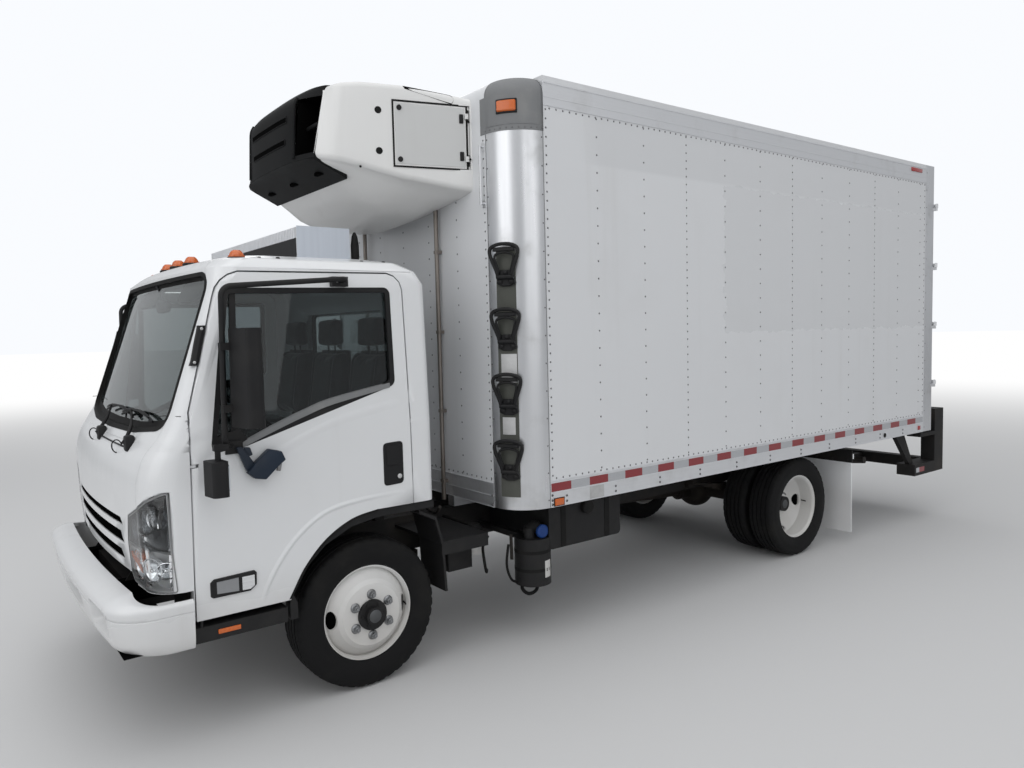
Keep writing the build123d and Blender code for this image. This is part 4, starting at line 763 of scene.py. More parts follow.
def on_side(y, z, inset):
    """A point on the cab's left side, seen from that side."""
    middle, edge, half, corner_x, corner_y = soft_section(z)
    start = edge + corner_y
    if y >= start:
        return (half - inset, y, z)
    back = min(1, (start - y) / (corner_y - inset))
    return (half - corner_x + (corner_x - inset) * sqrt(1 - back**2), y, z)


def eased(corners, radius, steps=5, longest=0.07):
    """Rounds an outline's corners and divides its long runs."""
    line = []
    count = len(corners)
    for i in range(count):
        before, corner, after = (Vector(corners[k % count]) for k in (i - 1, i, i + 1))
        a = corner + (before - corner).normalized() * min(radius, (before - corner).length * 0.45)
        b = corner + (after - corner).normalized() * min(radius, (after - corner).length * 0.45)
        for step in range(steps + 1):
            t = step / steps
            line.append(a * (1 - t) ** 2 + corner * 2 * t * (1 - t) + b * t * t)
    fine = []
    for a, b in zip(line, line[1:] + line[:1]):
        parts = max(1, ceil((b - a).length / longest))
        fine.extend(a.lerp(b, k / parts) for k in range(parts))
    return fine


def grown(outline, amount):
    """The outline moved outwards, or inwards for a negative amount."""
    count = len(outline)
    area = sum(outline[i - 1].x * outline[i].y - outline[i].x * outline[i - 1].y for i in range(count))
    sign = 1 if area > 0 else -1
    moved_line = []
    for i in range(count):
        before = (outline[i] - outline[i - 1]).normalized()
        after = (outline[(i + 1) % count] - outline[i]).normalized()
        normal = Vector((before.y + after.y, -before.x - after.x)) * sign
        if normal.length > 1e-6:
            moved_line.append(outline[i] + normal * (2 * amount / max(0.6, normal.length_squared)))
        else:
            moved_line.append(outline[i].copy())
    return moved_line


def band(shape, outer, inner, place, low, high):
    """A frame between two outlines, from one inset to the other."""
    rings = []
    for a, b in zip(outer, inner):
        rings.append([place(*a, low), place(*a, high), place(*b, high), place(*b, low)])
    shape.skin(rings, loop=True)


def pad(shape, outline, place, low, high, edge=0.0):
    """A patch that follows the skin, with its outer face narrower by edge."""
    outline = [Vector(point) for point in outline]
    top = grown(outline, -edge) if edge else outline
    shape.skin([[place(*point, high) for point in outline], [place(*point, low) for point in top]])


def ridge(shape, line, place, width, height):
    """A soft swelling that follows a line on the skin."""
    line = [Vector(point) for point in line]
    rings = []
    for i, point in enumerate(line):
        along = (line[min(i + 1, len(line) - 1)] - line[max(i - 1, 0)]).normalized()
        across = Vector((-along.y, along.x))
        from_start, from_end = i + 0.02, len(line) - 0.98 - i
        fade = sin(pi * min(1, 4 * min(from_start, from_end) / (len(line) - 1)) / 2)
        ring = [
            place(*(point + across * width * 0.5), 0.004),
            place(*(point - across * width * 0.5), 0.004),
        ]
        for k in range(-6, 7):
            rise = cos(pi * k / 12) ** 2 * height * fade
            ring.append(place(*(point + across * width * k / 12), 0.0003 - rise))
        rings.append(ring)
    shape.skin(rings)


def flat_line(points, steps=8):
    """A smooth line through (u, v) points."""
    return [(p.x, p.y) for p in rounded([(u, v, 0) for u, v in points], steps)]


# Smooth copies of the cab's shells and the corner caps, so that their facets read as curves
BEND_LOW_Z = 1.17
NOSE_BACK_Y = -0.925


def smooth_copy(node, body, finish, angle):
    """A node's mesh with soft shading; on the nose the bend under the windscreen is rounded too."""
    source = nodes[node].data
    mesh = bpy.data.meshes.new(node + "_shell")
    merged = bmesh.new()
    merged.from_mesh(source)
    bmesh.ops.remove_doubles(merged, verts=merged.verts, dist=0.00002)
    if node in ("cab_front_panel", "cab_sides"):
        for k in range(25):
            parts = merged.verts[:] + merged.edges[:] + merged.faces[:]
            level = (0, 0, BEND_LOW_Z + 0.015 * k)
            bmesh.ops.bisect_plane(merged, geom=parts, dist=0.00001, plane_co=level, plane_no=(0, 0, 1))
        for vertex in merged.verts:
            x, y, z = vertex.co
            share = min(1, max(0, (NOSE_BACK_Y - (y - FRONT_AXLE_Y)) / 0.05))
            sharp, soft = cab_section(z), soft_section(z)
            side = min(1, (x / (sharp[2] - sharp[3])) ** 2)
            middle, edge = soft[0] - sharp[0], soft[1] - sharp[1]
            vertex.co.y += (middle + (edge - middle) * side) * share
    merged.to_mesh(mesh)
    mesh.shade_smooth()
    mesh.set_sharp_from_angle(angle=radians(angle))
    made = piece(node + "_shell", mesh, body, finish)
    weighted = made.modifiers.new("even_shading", "WEIGHTED_NORMAL")
    weighted.keep_sharp = True
    weighted.weight = 60
    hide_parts(node)
    return made


for node in ("cab_front_panel", "cab_sides", "cab_roof"):
    smooth_copy(node, "cab", "cab_paint", 40)
for side, sign in SIDES:
    smooth_copy(f"{side}_door", f"cab_door_{side}", "cab_paint", 40)
smooth_copy("corner_caps", "chassis", "grey_plastic", 40)


# Windscreen: rubber, black border, wipers
SCREEN = [
    (-0.912, 1.530), (-0.893, 2.150), (-0.830, 2.205), (0.830, 2.205), (0.893, 2.150), (0.912, 1.530),
    (0.840, 1.482), (0.500, 1.452), (0.0, 1.446), (-0.500, 1.452), (-0.840, 1.482),
]
screen_edge = eased(SCREEN, 0.05)
seal = Shape()
band(seal, grown(screen_edge, 0.008), grown(screen_edge, -0.012), on_front, -0.003, 0.0215)
border_inner = []
for point in grown(screen_edge, -0.030):
    lift = 0.010 if point.y < 1.62 else 0.0
    border_inner.append(Vector((point.x, point.y + lift)))
band(seal, grown(screen_edge, -0.010), border_inner, on_front, 0.0200, 0.0216)
back_edge = eased([(-0.560, 1.600), (-0.560, 2.040), (0.560, 2.040), (0.560, 1.600)], 0.05)


def on_back(x, z, inset):
    """A point on the cab's back wall."""
    return (x, 0.395 - inset, z)


band(seal, grown(back_edge, 0.012), grown(back_edge, -0.014), on_back, 0.0, 0.024)
piece("screen_seals", seal, "cab", "rubber_parts")


def wiper(shape, x, tip, blade_from, blade_to):
    """A parked wiper: its pivot box, arm, blade and bow."""
    px, py, pz = on_front(x, 1.405, 0)
    boss = [(0, 0.028), (-0.030, 0.028), (-0.042, 0.020), (-0.048, 0.004)]
    shape.lathe("y", (px, py + 0.012, pz), boss, 14)
    shape.slab(px - 0.024, px + 0.036, py - 0.032, py + 0.012, pz - 0.042, pz + 0.036, 0.011)
    elbow = on_front(x + (tip - x) * 0.35, 1.475, -0.030)
    hold = on_front(tip, 1.545, -0.022)
    shape.tube(rounded([(px, py - 0.034, pz), elbow, hold], 5), [0.011] + [0.009] * 5 + [0.006] * 5, 8)
    blade = []
    for k in range(13):
        across = blade_from + (blade_to - blade_from) * k / 12
        blade.append(on_front(across, 1.509 + 0.036 * sin(k / 12 * pi), -0.002))
    shape.tube(blade, 0.0065, 6)
    bow = []
    for k, point in enumerate(blade):
        bow.append((point[0], point[1] - 0.014 * sin(pi * k / 12) - 0.006, point[2] + 0.008))
    shape.tube(bow[1:-1], 0.0045, 6)


wipers = Shape()
wiper(wipers, 0.590, 0.400, 0.165, 0.730)
wiper(wipers, -0.005, -0.070, -0.260, 0.390)
wipers.tube([on_front(0.085 * k - 0.15, 1.392 - 0.0012 * k, -0.005) for k in range(10)], 0.0042, 6)
for x, z in ((0.470, 1.378), (-0.130, 1.386)):
    centre = Vector(on_front(x, z, -0.016))
    level = Vector((0.78, 0.62, 0))
    ring = []
    for k in range(20):
        turn = 2 * pi * k / 20
        ring.append(centre + level * 0.030 * cos(turn) + Vector((0, 0, 1)) * 0.032 * sin(turn))
    wipers.tube(ring, 0.0032, 6, loop=True)
piece("wipers", wipers, "cab", "black_plastic")


# Pillar vane, pillar seam, roof studs and lamp bases
vane = Shape()
vane_line = [(-0.868, 1.772), (-0.858, 1.800), (-0.840, 1.870), (-0.822, 1.935), (-0.818, 1.955)]
rings = []
for y, z in flat_line(vane_line, 5):
    x, y, z = on_side(y + 0.022, z, 0)
    rings.append(
        [(x - 0.006, y - 0.018, z), (x + 0.014, y - 0.016, z), (x + 0.022, y, z),
         (x + 0.016, y + 0.015, z), (x - 0.006, y + 0.018, z)]
    )
vane.skin(rings)
piece("pillar_vanes", vane.mirrored(), "cab", "black_plastic")
vane_bolts = Shape()
for y, z in ((-0.843, 1.787), (-0.800, 1.940)):
    x, y, z = on_side(y, z, 0)
    vane_bolts.lathe("x", (x + 0.018, y, z), [(0, 0.007), (0.006, 0.007), (0.009, 0.004)], 10)
piece("vane_bolts", vane_bolts.mirrored(), "cab", silver_label)
LAMP_BASE = [
    (-0.02, 0.047), (0.012, 0.047), (0.016, 0.043), (0.016, 0.0402), (-0.02, 0.0402), (-0.02, 0.047)
]
seams = Shape()
seams.tube([on_side(-0.984 + 0.014 * k, 1.546, 0.0005) for k in range(6)], 0.0018, 6)
seam_piece = seams.mirrored()
studs = Shape()
for x, y in ((0.862, -0.486), (0.880, -0.399), (0.870, 0.188), (0.866, 0.060)):
    z = 2.286
    studs.lathe("z", (x, y, z - 0.022), [(0, 0.012), (0.018, 0.012), (0.024, 0.007)], 10)
seam_piece.add(studs.mirrored())
for x, y, z in ((0.830, -0.585, 2.262), (0.250, -0.640, 2.280), (0.0, -0.645, 2.282)):
    for sign in (1, -1) if x else (1,):
        seam_piece.lathe("z", (sign * x, y, z + 0.006), LAMP_BASE, 28)
piece("roof_studs", seam_piece, "cab", "black_plastic")


# Headlamps: a silver tub, a bowl for each light, a bar between them and a rim
def lamp_skin(s, z, inset):
    """The lamp's face: s runs along the nose, then round the corner."""
    middle, edge, half, corner_x, corner_y = cab_section(z)
    straight = half - corner_x
    if s <= straight:
        return on_front(s, z, inset)
    turn = min(1.35, (s - straight) / 0.15)
    x = straight + (corner_x - inset) * sin(turn)
    return (x, edge + corner_y - (corner_y - inset) * cos(turn), z)


LAMP_FACE = [
    (0.706, 0.764), (0.678, 0.803), (0.686, 0.900), (0.698, 0.990), (0.718, 1.077), (0.850, 1.129),
    (0.926, 1.173), (1.006, 1.205), (1.036, 1.209), (1.036, 0.755),
]
lamp_edge = eased(LAMP_FACE, 0.012, 4, 0.03)
tub = Shape()
pad(tub, lamp_edge, lamp_skin, 0.055, 0.062)
band(tub, grown(lamp_edge, 0.001), grown(lamp_edge, -0.006), lamp_skin, 0.002, 0.058)
piece("headlamp_tubs", tub.mirrored(), "cab", silver_label)
rims = Shape()
band(rims, grown(lamp_edge, 0.0035), grown(lamp_edge, -0.002), lamp_skin, -0.0012, 0.010)
pad(rims, [(0.692, 0.952), (0.688, 0.940), (1.034, 0.926), (1.034, 0.938)], lamp_skin, 0.004, 0.052)
piece("headlamp_rims", rims.mirrored(), "cab", "grey_plastic")
bowls = Shape()
LAMP_BOWLS = ((0.770, 1.025, 0.052), (0.778, 0.858, 0.074), (0.880, 1.070, 0.064), (0.905, 0.850, 0.058),
              (0.975, 1.090, 0.050), (0.990, 0.850, 0.040))
for s, z, radius in LAMP_BOWLS:
    cx, cy, cz = lamp_skin(s, z, 0.050)
    profile = [
        (-0.022, radius), (-0.023, radius * 0.94), (-0.004, radius * 0.72), (0.008, radius * 0.3),
        (0.010, 0.004),
    ]
    profile = profile + [(0.016, 0.004), (0.006, radius * 0.85), (-0.018, radius), (-0.022, radius)]
    face = Shape()
    face.lathe("y", (0, 0, 0), profile, 32)
    turn = Matrix.Rotation(max(0.2, min(1.2, (s - 0.84) / 0.15)), 4, "Z")
    bowls.add(face, Matrix.Translation((cx, cy, cz)) @ turn)
    bulb = Shape()
    bulb.lathe("y", (0, 0, 0), [(0.008, 0.012), (-0.014, 0.012), (-0.022, 0.007), (-0.024, 0.001)], 14)
    bowls.add(bulb, Matrix.Translation((cx, cy - 0.001, cz)) @ turn)
piece("headlamp_bowls", bowls.mirrored(), "cab", reflector_finish)
signals = Shape()
stripe = [(0.697, 0.880), (0.695, 0.908), (0.760, 0.882), (0.815, 0.850), (0.815, 0.826), (0.760, 0.856)]
pad(signals, stripe, lamp_skin, 0.018, 0.040)
piece("headlamp_signals", signals.mirrored(), "cab", "amber_lens")

pane = Shape()
upper = [
    (0.690, 0.958), (0.700, 0.990), (0.720, 1.073), (0.850, 1.125), (0.926, 1.168), (1.004, 1.199),
    (1.030, 1.203), (1.030, 0.944),
]
pad(pane, eased(upper, 0.008, 3, 0.03), lamp_skin, 0.006, 0.009)
piece("headlamp_panes", pane.mirrored(), "cab", smoked_pane)


# Door furniture
def door_pieces():
    """Everything on a cab door, built on the left and mirrored."""
    window_edge = eased(WINDOW, 0.045, 5, 0.05)
    frames = Shape()
    band(frames, grown(window_edge, 0.003), grown(window_edge, -0.026), on_side, 0.0035, 0.0212)
    quarter = [(-0.700, 1.392), (-0.664, 1.388), (-0.640, 2.122), (-0.668, 2.122)]
    pad(frames, quarter, on_side, 0.012, 0.0212)
    handle = eased([(0.076, 1.087), (0.076, 1.322), (0.200, 1.327), (0.200, 1.092)], 0.028, 5)
    pad(frames, handle, on_side, -0.0030, 0.010, 0.004)
    foot = [(-0.800, 1.362), (-0.640, 1.380), (-0.615, 1.400), (-0.660, 1.470), (-0.795, 1.430)]
    pad(frames, foot, on_side, 0.006, 0.0212)
    lamp = [(-0.835, 0.700), (-0.835, 0.768), (-0.816, 0.784), (-0.626, 0.790), (-0.613, 0.777)]
    lamp = lamp + [(-0.615, 0.716), (-0.648, 0.689), (-0.822, 0.690)]
    pad(frames, lamp, on_side, -0.009, 0.012, 0.005)
    paddle = eased([(0.094, 1.195), (0.094, 1.305), (0.182, 1.308), (0.182, 1.198)], 0.014, 4)
    pad(frames, paddle, on_side, -0.008, -0.0025, 0.003)
    belt = [
        (-0.655, 1.374), (-0.632, 1.384), (-0.470, 1.449), (-0.320, 1.504), (-0.182, 1.546),
        (0.139, 1.610),
    ]
    belt_top = [
        (0.139, 1.640), (-0.182, 1.582), (-0.320, 1.541), (-0.469, 1.485), (-0.625, 1.418),
        (-0.655, 1.404),
    ]
    belt_line = Shape()
    pad(belt_line, flat_line(belt, 4) + flat_line(belt_top, 4), on_side, -0.0035, 0.018, 0.003)
    lock = Shape()
    barrel = [(0, 0.013), (0.004, 0.013), (0.006, 0.010), (0.0065, 0.002)]
    lock.lathe("x", (1.002, 0.172, 1.135), barrel, 18)
    for y in (-0.146, -0.110):
        lock.lathe("x", (1.002, y, 2.166), [(0, 0.006), (0.006, 0.006), (0.008, 0.003)], 8)
    cells = Shape()
    dark_cell = [(-0.806, 0.710), (-0.806, 0.768), (-0.703, 0.770), (-0.703, 0.704)]
    pad(cells, dark_cell, on_side, -0.012, -0.007, 0.002)
    clear = Shape()
    clear_cell = [(-0.690, 0.703), (-0.690, 0.770), (-0.628, 0.770), (-0.628, 0.716), (-0.650, 0.702)]
    pad(clear, clear_cell, on_side, -0.012, -0.007, 0.002)
    creases = Shape()
    arch = [
        (-0.590, 0.612), (-0.568, 0.690), (-0.487, 0.819), (-0.380, 0.930), (-0.242, 1.010),
        (-0.050, 1.040), (0.215, 1.048),
    ]
    ridge(creases, flat_line(arch, 7), on_side, 0.036, 0.0062)
    lip = Shape()
    arc = [
        (-0.461, 0.604), (-0.441, 0.640), (-0.370, 0.755), (-0.255, 0.872), (-0.110, 0.950),
        (0.040, 0.976),
    ]
    inner = [
        (0.040, 0.966), (-0.107, 0.940), (-0.248, 0.863), (-0.361, 0.748), (-0.431, 0.636),
        (-0.451, 0.604),
    ]
    pad(lip, flat_line(arc, 6) + inner, on_side, -0.0014, 0.005)
    crease = [
        (-0.740, 1.200), (-0.462, 1.345), (-0.276, 1.427), (-0.094, 1.478), (0.082, 1.514),
        (0.205, 1.532),
    ]
    ridge(creases, flat_line(crease, 7), on_side, 0.070, 0.0022)
    mirrors = Shape()

    def on_main_mirror(x, z, inset):
        return (x, -0.6415 + (x - 1.1) * 0.135 - inset, z)

    def on_low_mirror(x, z, inset):
        return (x, -0.7785 + (x - 1.07) * 0.085 - inset, z)

    face = eased([(1.118, 1.520), (1.118, 1.910), (1.236, 1.910), (1.236, 1.520)], 0.02, 4, 0.5)
    pad(mirrors, face, on_main_mirror, -0.0015, 0.006, 0.001)
    face = eased([(1.082, 1.206), (1.082, 1.336), (1.166, 1.336), (1.166, 1.206)], 0.02, 4, 0.5)
    pad(mirrors, face, on_low_mirror, -0.003, 0.010, 0.002)
    made = [
        ("window_frames", frames, "black_plastic", None),
        ("belt_moulding", belt_line, "grey_plastic", None),
        ("door_locks", lock, silver_label, "mill_aluminium"),
        ("side_lamp_cell", cells, smoked_lens, "lamp_glass"),
        ("side_lamp_clear", clear, reflector_finish, "lamp_glass"),
        ("door_creases", creases, "cab_paint", None),
        ("arch_lip", lip, "rubber_parts", None),
        ("mirror_faces", mirrors, mirror_finish, "window_glass"),
    ]
    for name, shape, finish, slot in made:
        for side, twin in (("left", shape), ("right", shape.other_side())):
            piece(f"{side}_{name}", twin, f"cab_door_{side}", finish)


door_pieces()

# Key box clipped over the driver's window edge
key_box = Shape()
box_clip = [(-0.692, 1.385), (-0.667, 1.387), (-0.607, 1.297), (-0.648, 1.269)]
key_box.prism("x", box_clip, 1.012, 1.036, 0.003, 2)
box_hook = [(-0.659, 1.383), (-0.627, 1.380), (-0.616, 1.344), (-0.639, 1.335)]
key_box.prism("x", box_hook, 1.016, 1.030, 0.004, 2)
box_face = [
    (-0.649, 1.262), (-0.619, 1.233), (-0.566, 1.222), (-0.506, 1.277), (-0.467, 1.306),
    (-0.485, 1.348),
]
box_face = box_face + [(-0.543, 1.364), (-0.612, 1.307)]
key_box.prism("x", box_face, 1.010, 1.056, 0.005, 2)
piece("key_box", key_box, "cab_door_left", box_blue)
stub = [(-0.502, 1.290), (-0.481, 1.287), (-0.489, 1.251), (-0.508, 1.254)]
key_stub = Shape().prism("x", stub, 1.026, 1.038, 0.002, 1)
piece("key_box_shackle", key_stub, "cab_door_left", nut_finish)
sill_lamps = Shape().slab(0.990, 1.001, -0.805, -0.700, 0.518, 0.540, 0.003)
piece("sill_markers", sill_lamps.mirrored(), "cab", "amber_lens")


# Wheel hubs, nuts and valves
HUB_RADIUS = 0.080
NUT_CIRCLE = 0.111


def wheel_nut(x):
    """A nut on its washer, with the stud's end."""
    nut = Shape()
    nut.lathe("x", (x, 0, 0), [(0, 0.026), (0.004, 0.026), (0.012, 0.019), (0.013, 0.001)], 20)
    hexagon = [(0.0165 * cos(pi * k / 3), 0.0165 * sin(pi * k / 3)) for k in range(6)]
    nut.prism("x", hexagon, x + 0.008, x + 0.030, 0.0015, 1)
    nut.lathe("x", (x, 0, 0), [(0.028, 0.0085), (0.038, 0.0085), (0.040, 0.006), (0.0405, 0.001)], 12)
    return nut


def polar(radius, angle):
    """A place round a wheel's axle."""
    return Matrix.Translation((0, radius * cos(angle), radius * sin(angle)))


def hub_pieces(name, body, sign, centre_y, face_x, hub_x, cap_x, cap_radius, valve_x, liner):
    """Nuts, hub cover with its bolts and centre, valve, and the dark wedge of painted shade in one
    wheel's well.
    """
    nuts = Shape()
    nut = wheel_nut(face_x)
    for k in range(6):
        angle = pi / 2 + k * pi / 3
        nuts.add(nut, polar(NUT_CIRCLE, angle) @ Matrix.Rotation(angle, 4, "X"))
    cover = Shape()
    profile = [(face_x + 0.0002, HUB_RADIUS + 0.002), (hub_x + 0.0015, HUB_RADIUS + 0.001)]
    profile += [(hub_x + 0.0018, cap_radius + 0.001), (cap_x + 0.001, cap_radius + 0.001)]
    profile += [(cap_x + 0.0012, 0.001), (face_x, 0.001)]
    cover.lathe("x", (0, 0, 0), profile, 36)
    dome = [
        (cap_x - 0.003, 0.035), (cap_x + 0.0025, 0.035), (cap_x + 0.006, 0.028),
        (cap_x + 0.007, 0.002),
    ]
    centre = Shape().lathe("x", (0, 0, 0), dome, 24)
    bolt = Shape().lathe("x", (hub_x, 0, 0), [(0, 0.007), (0.006, 0.007), (0.007, 0.004)], 8)
    for k in range(6):
        cover.add(bolt, polar((HUB_RADIUS + cap_radius) / 2, k * pi / 3))
    shade = Shape().lathe("x", (0, 0, 0), liner, 40)
    stem = [(valve_x - 0.035, 0.226, 0), (valve_x - 0.01, 0.222, 0), (valve_x + 0.012, 0.214, 0)]
    valve = Shape().tube(stem, 0.0045, 8)
    for label, shape, finish, slot in (
        ("nuts", nuts, nut_finish, "wheel_paint"),
        ("hub", cover, "black_plastic", None),
        ("hub_centre", centre, hub_steel, "wheel_paint"),
        ("valve", valve, "rubber_parts", None),
        ("liner", shade, void_black, "rubber_parts"),
    ):
        side = shape if sign > 0 else shape.other_side()
        piece(f"{name}_{label}", moved(side, 0, centre_y, WHEEL_Z), body, finish)


# Dark wedges in front of each rim's well, painted shade over the well and the drum: (along the axle,
# radius)
FRONT_WELL_SHADE = [
    (0.9490, 0.150), (0.9488, 0.1765), (0.850, 0.1768), (0.820, 0.2370), (0.858, 0.2375), (0.915, 0.190),
    (0.9493, 0.160), (0.9494, 0.150),
]
REAR_WELL_SHADE = [
    (0.8421, 0.150), (0.8415, 0.160), (0.836, 0.190), (0.800, 0.2372), (0.905, 0.2372), (0.849, 0.190),
    (0.8428, 0.160), (0.8427, 0.150),
]
for side, sign in SIDES:
    hub_pieces(
        f"front_{side}", f"front_wheel_{side}", sign, 0,
        face_x=0.9595, hub_x=0.9735, cap_x=0.9995, cap_radius=0.046, valve_x=0.930, liner=FRONT_WELL_SHADE,
    )
    hub_pieces(
        f"rear_{side}", f"rear_wheels_{side}", sign, REAR_AXLE_Y,
        face_x=0.8475, hub_x=0.8625, cap_x=0.9425, cap_radius=0.060, valve_x=0.985, liner=REAR_WELL_SHADE,
    )

# Tape along the bottom rails
tape = Shape().slab(RAIL_FACE_X, 1.2197, 1.049, 5.612, 0.950, 1.000)
piece("reflective_tape", tape.mirrored(), "chassis", tape_finish)

# Extruded ribs, bolts and lamps of the body's rails
ribs = Shape()
RIBS = (
    (0.8605, 0.0022), (0.9425, 0.0026), (1.0125, 0.0022), (3.168, 0.0020), (3.214, 0.0018),
    (3.292, 0.0030),
)
for z, depth in RIBS:
    ribs.slab(1.2180, 1.219 + depth, 1.046, 5.622, z - 0.0022, z + 0.0022, 0.0008, 1)
rail_ribs = ribs.mirrored()
for z in (0.8605, 0.926, 1.002):
    rail_ribs.slab(-0.982, 0.982, 0.8005, 0.8045, z - 0.002, z + 0.002, 0.0006, 1)
piece("rail_ribs", rail_ribs, "chassis", "mill_aluminium")


def rail_fasteners():
    """Rail bolts, screws up the corner posts and rivets round the caps."""
    bolts = []
    short = 0.0001
    for sign in (1, -1):
        x = sign * RAIL_BOLT_X
        for number in range(11):
            y = 1.167 + RIVET_COLUMN * number
            for z in (0.882, 0.914):
                bolts.append(([(x, y, z), (x, y + short, z)], (sign, 0, 0)))
        for z in (0.875, 0.900, 0.930):
            bolts.append(([(x, 1.056, z), (x, 1.056 + short, z)], (sign, 0, 0)))
        for z in (0.875, 0.930):
            bolts.append(([(sign * 0.970, 0.8028, z), (sign * (0.970 + short), 0.8028, z)], (0, -1, 0)))
    fastener_rows("rail_bolts", bolts, 0.05, 0.0085, 0.005, "chassis", rivet_painted_shade, 6)
    screws = []
    for sign in (1, -1):
        for degrees in (3.0, 87.0):
            angle = radians(degrees)
            c, s = cos(angle), sin(angle)
            x = sign * (CORNER_X + CORNER_RADIUS * c)
            y = CORNER_Y - CORNER_RADIUS * s
            screws.append(([(x, y, 0.905), (x, y, 2.985)], (sign * c, -s, 0)))
        x = sign * RAIL_BOLT_X
        screws.append(([(x, 5.640, 0.90), (x, 5.640, 3.26)], (sign, 0, 0)))
    fastener_rows("post_screws", screws, 0.1524, 0.0052, 0.0024, "chassis", rivet_painted_shade, 6)
    cap_rows = []
    radius = CORNER_RADIUS + 0.003
    for sign in (1, -1):
        line = []
        facings = []
        for k in range(13):
            angle = radians(2 + 86 * k / 12)
            c, s = cos(angle), sin(angle)
            line.append((sign * (CORNER_X + radius * c), CORNER_Y - radius * s, 3.034))
            facings.append((sign * c, -s, 0))
        cap_rows.append((line, facings))
    fastener_rows(
        "cap_rivets", cap_rows, 0.034, 0.0050, 0.0026, "chassis", rivet_painted_shade, 6
    )


rail_fasteners()


def corner_arc(radius, start, end, steps):
    """Points round the left corner, seen from above, by degrees from the side."""
    turns = [radians(start + (end - start) * k / steps) for k in range(steps + 1)]
    return [(CORNER_X + radius * cos(a), CORNER_Y - radius * sin(a)) for a in turns]


def corner_band(shape, low, high, inner, outer, start, end, edge=0.0, steps=12):
    """A curved plate on the corner post."""
    outline = corner_arc(outer, start, end, steps) + corner_arc(inner, end, start, steps)
    shape.prism("z", outline, low, high, edge, 1)


# Corner: cap seams, marker lamp, strip with four folding steps, blank plates and grab rod
corner = Shape()
corner_band(corner, 3.052, 3.0565, CORNER_RADIUS, CORNER_RADIUS + 0.0052, 1, 89)
for start, end in ((0.25, 0.95), (89.05, 89.75)):
    corner_band(corner, 0.862, 3.018, CORNER_RADIUS - 0.004, CORNER_RADIUS + 0.0018, start, end, 0, 2)
piece("corner_seams", corner.mirrored(), "chassis", "grey_plastic")
marker = Shape()
corner_band(marker, 3.122, 3.182, CORNER_RADIUS - 0.01, CORNER_RADIUS + 0.020, 40, 66, 0.006)
marker.slab(RAIL_FACE_X, 1.226, 1.072, 1.142, 0.866, 0.906, 0.003)
piece("front_markers", marker.mirrored(), "chassis", "amber_lens")
marker_base = Shape()
corner_band(marker_base, 3.112, 3.192, CORNER_RADIUS, CORNER_RADIUS + 0.009, 38, 68, 0.003)
marker_base.slab(RAIL_FACE_X, 1.2215, 1.066, 1.148, 0.861, 0.911)
piece("marker_bases", marker_base.mirrored(), "chassis", "black_plastic")
strip = Shape()
corner_band(strip, 0.935, 2.360, CORNER_RADIUS, CORNER_RADIUS + 0.004, 45, 74)
piece("step_strip", strip.mirrored(), "chassis", strip_finish)


def folding_step():
    """One step, folded up: x across, z up, y outwards from the post."""
    step = Shape()

    def loop(width_top, width_low, top, low, radius, out, bow):
        half = [
            (width_low, out * 0.55, low), (width_low * 1.02, out * 0.8, low * 0.5),
            (width_top, out, top * 0.55), (width_top * 0.97, out, top * 0.86),
            (width_top * 0.55, out + bow, top),
        ]
        points = [(-x, y, z) for x, y, z in half] + [(0, out + bow, top + 0.004)] + half[::-1]
        step.tube(rounded(points, 4), radius, 8)

    loop(0.064, 0.036, 0.098, -0.040, 0.0085, 0.030, 0.004)
    loop(0.044, 0.030, 0.062, -0.020, 0.0060, 0.026, 0.002)
    tread = [(-0.052, 0.070), (-0.050, 0.088), (0.050, 0.088), (0.052, 0.070)]
    step.prism("y", tread, 0.018, 0.036, 0.003, 1)
    bracket = [
        (-0.030, -0.010), (-0.046, -0.070), (-0.020, -0.082), (0.020, -0.082), (0.046, -0.070),
        (0.030, -0.010),
    ]
    step.prism("y", bracket, -0.002, 0.012, 0.003, 1)
    step.tube([(-0.040, 0.018, -0.042), (0.040, 0.018, -0.042)], 0.010, 10)
    for x, z in ((-0.026, -0.062), (0.026, -0.062), (0.0, -0.022)):
        step.lathe("y", (x, 0.010, z), [(0, 0.011), (0.007, 0.011), (0.011, 0.006), (0.012, 0.001)], 10)
    return step


steps = Shape()
plates = Shape()
one_step = folding_step()
bearing = radians(58)
across, out = sin(bearing), cos(bearing)
outward = Matrix(((across, out, 0), (out, -across, 0), (0, 0, 1)))
for z in (2.255, 1.890, 1.520, 1.140):
    radius = CORNER_RADIUS + 0.004
    foot = Vector((CORNER_X + radius * out, CORNER_Y - radius * across, z))
    steps.add(one_step, Matrix.Translation(foot) @ outward.to_4x4() @ Matrix.Scale(1.28, 4))
corner_band(plates, 1.600, 1.765, CORNER_RADIUS, CORNER_RADIUS + 0.0052, 46, 69)
corner_band(plates, 1.300, 1.400, CORNER_RADIUS, CORNER_RADIUS + 0.0052, 50, 69)
step_piece = piece("folding_steps", steps.mirrored(), "chassis", "black_plastic")
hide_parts("climbing_steps")
piece("blank_plates", plates.mirrored(), "chassis", silver_label)
rods = Shape()
rods.tube([(0.960, 0.781, 2.625), (0.960, 0.781, 2.960)], 0.0075, 10)
for z in (2.632, 2.953):
    rods.tube([(0.960, 0.778, z), (0.960, 0.812, z)], 0.007, 8)
    rods.slab(0.944, 0.976, 0.802, 0.8065, z - 0.022, z + 0.022, 0.002, 1)
piece("grab_rods", rods.mirrored(), "chassis", "polished_aluminium")

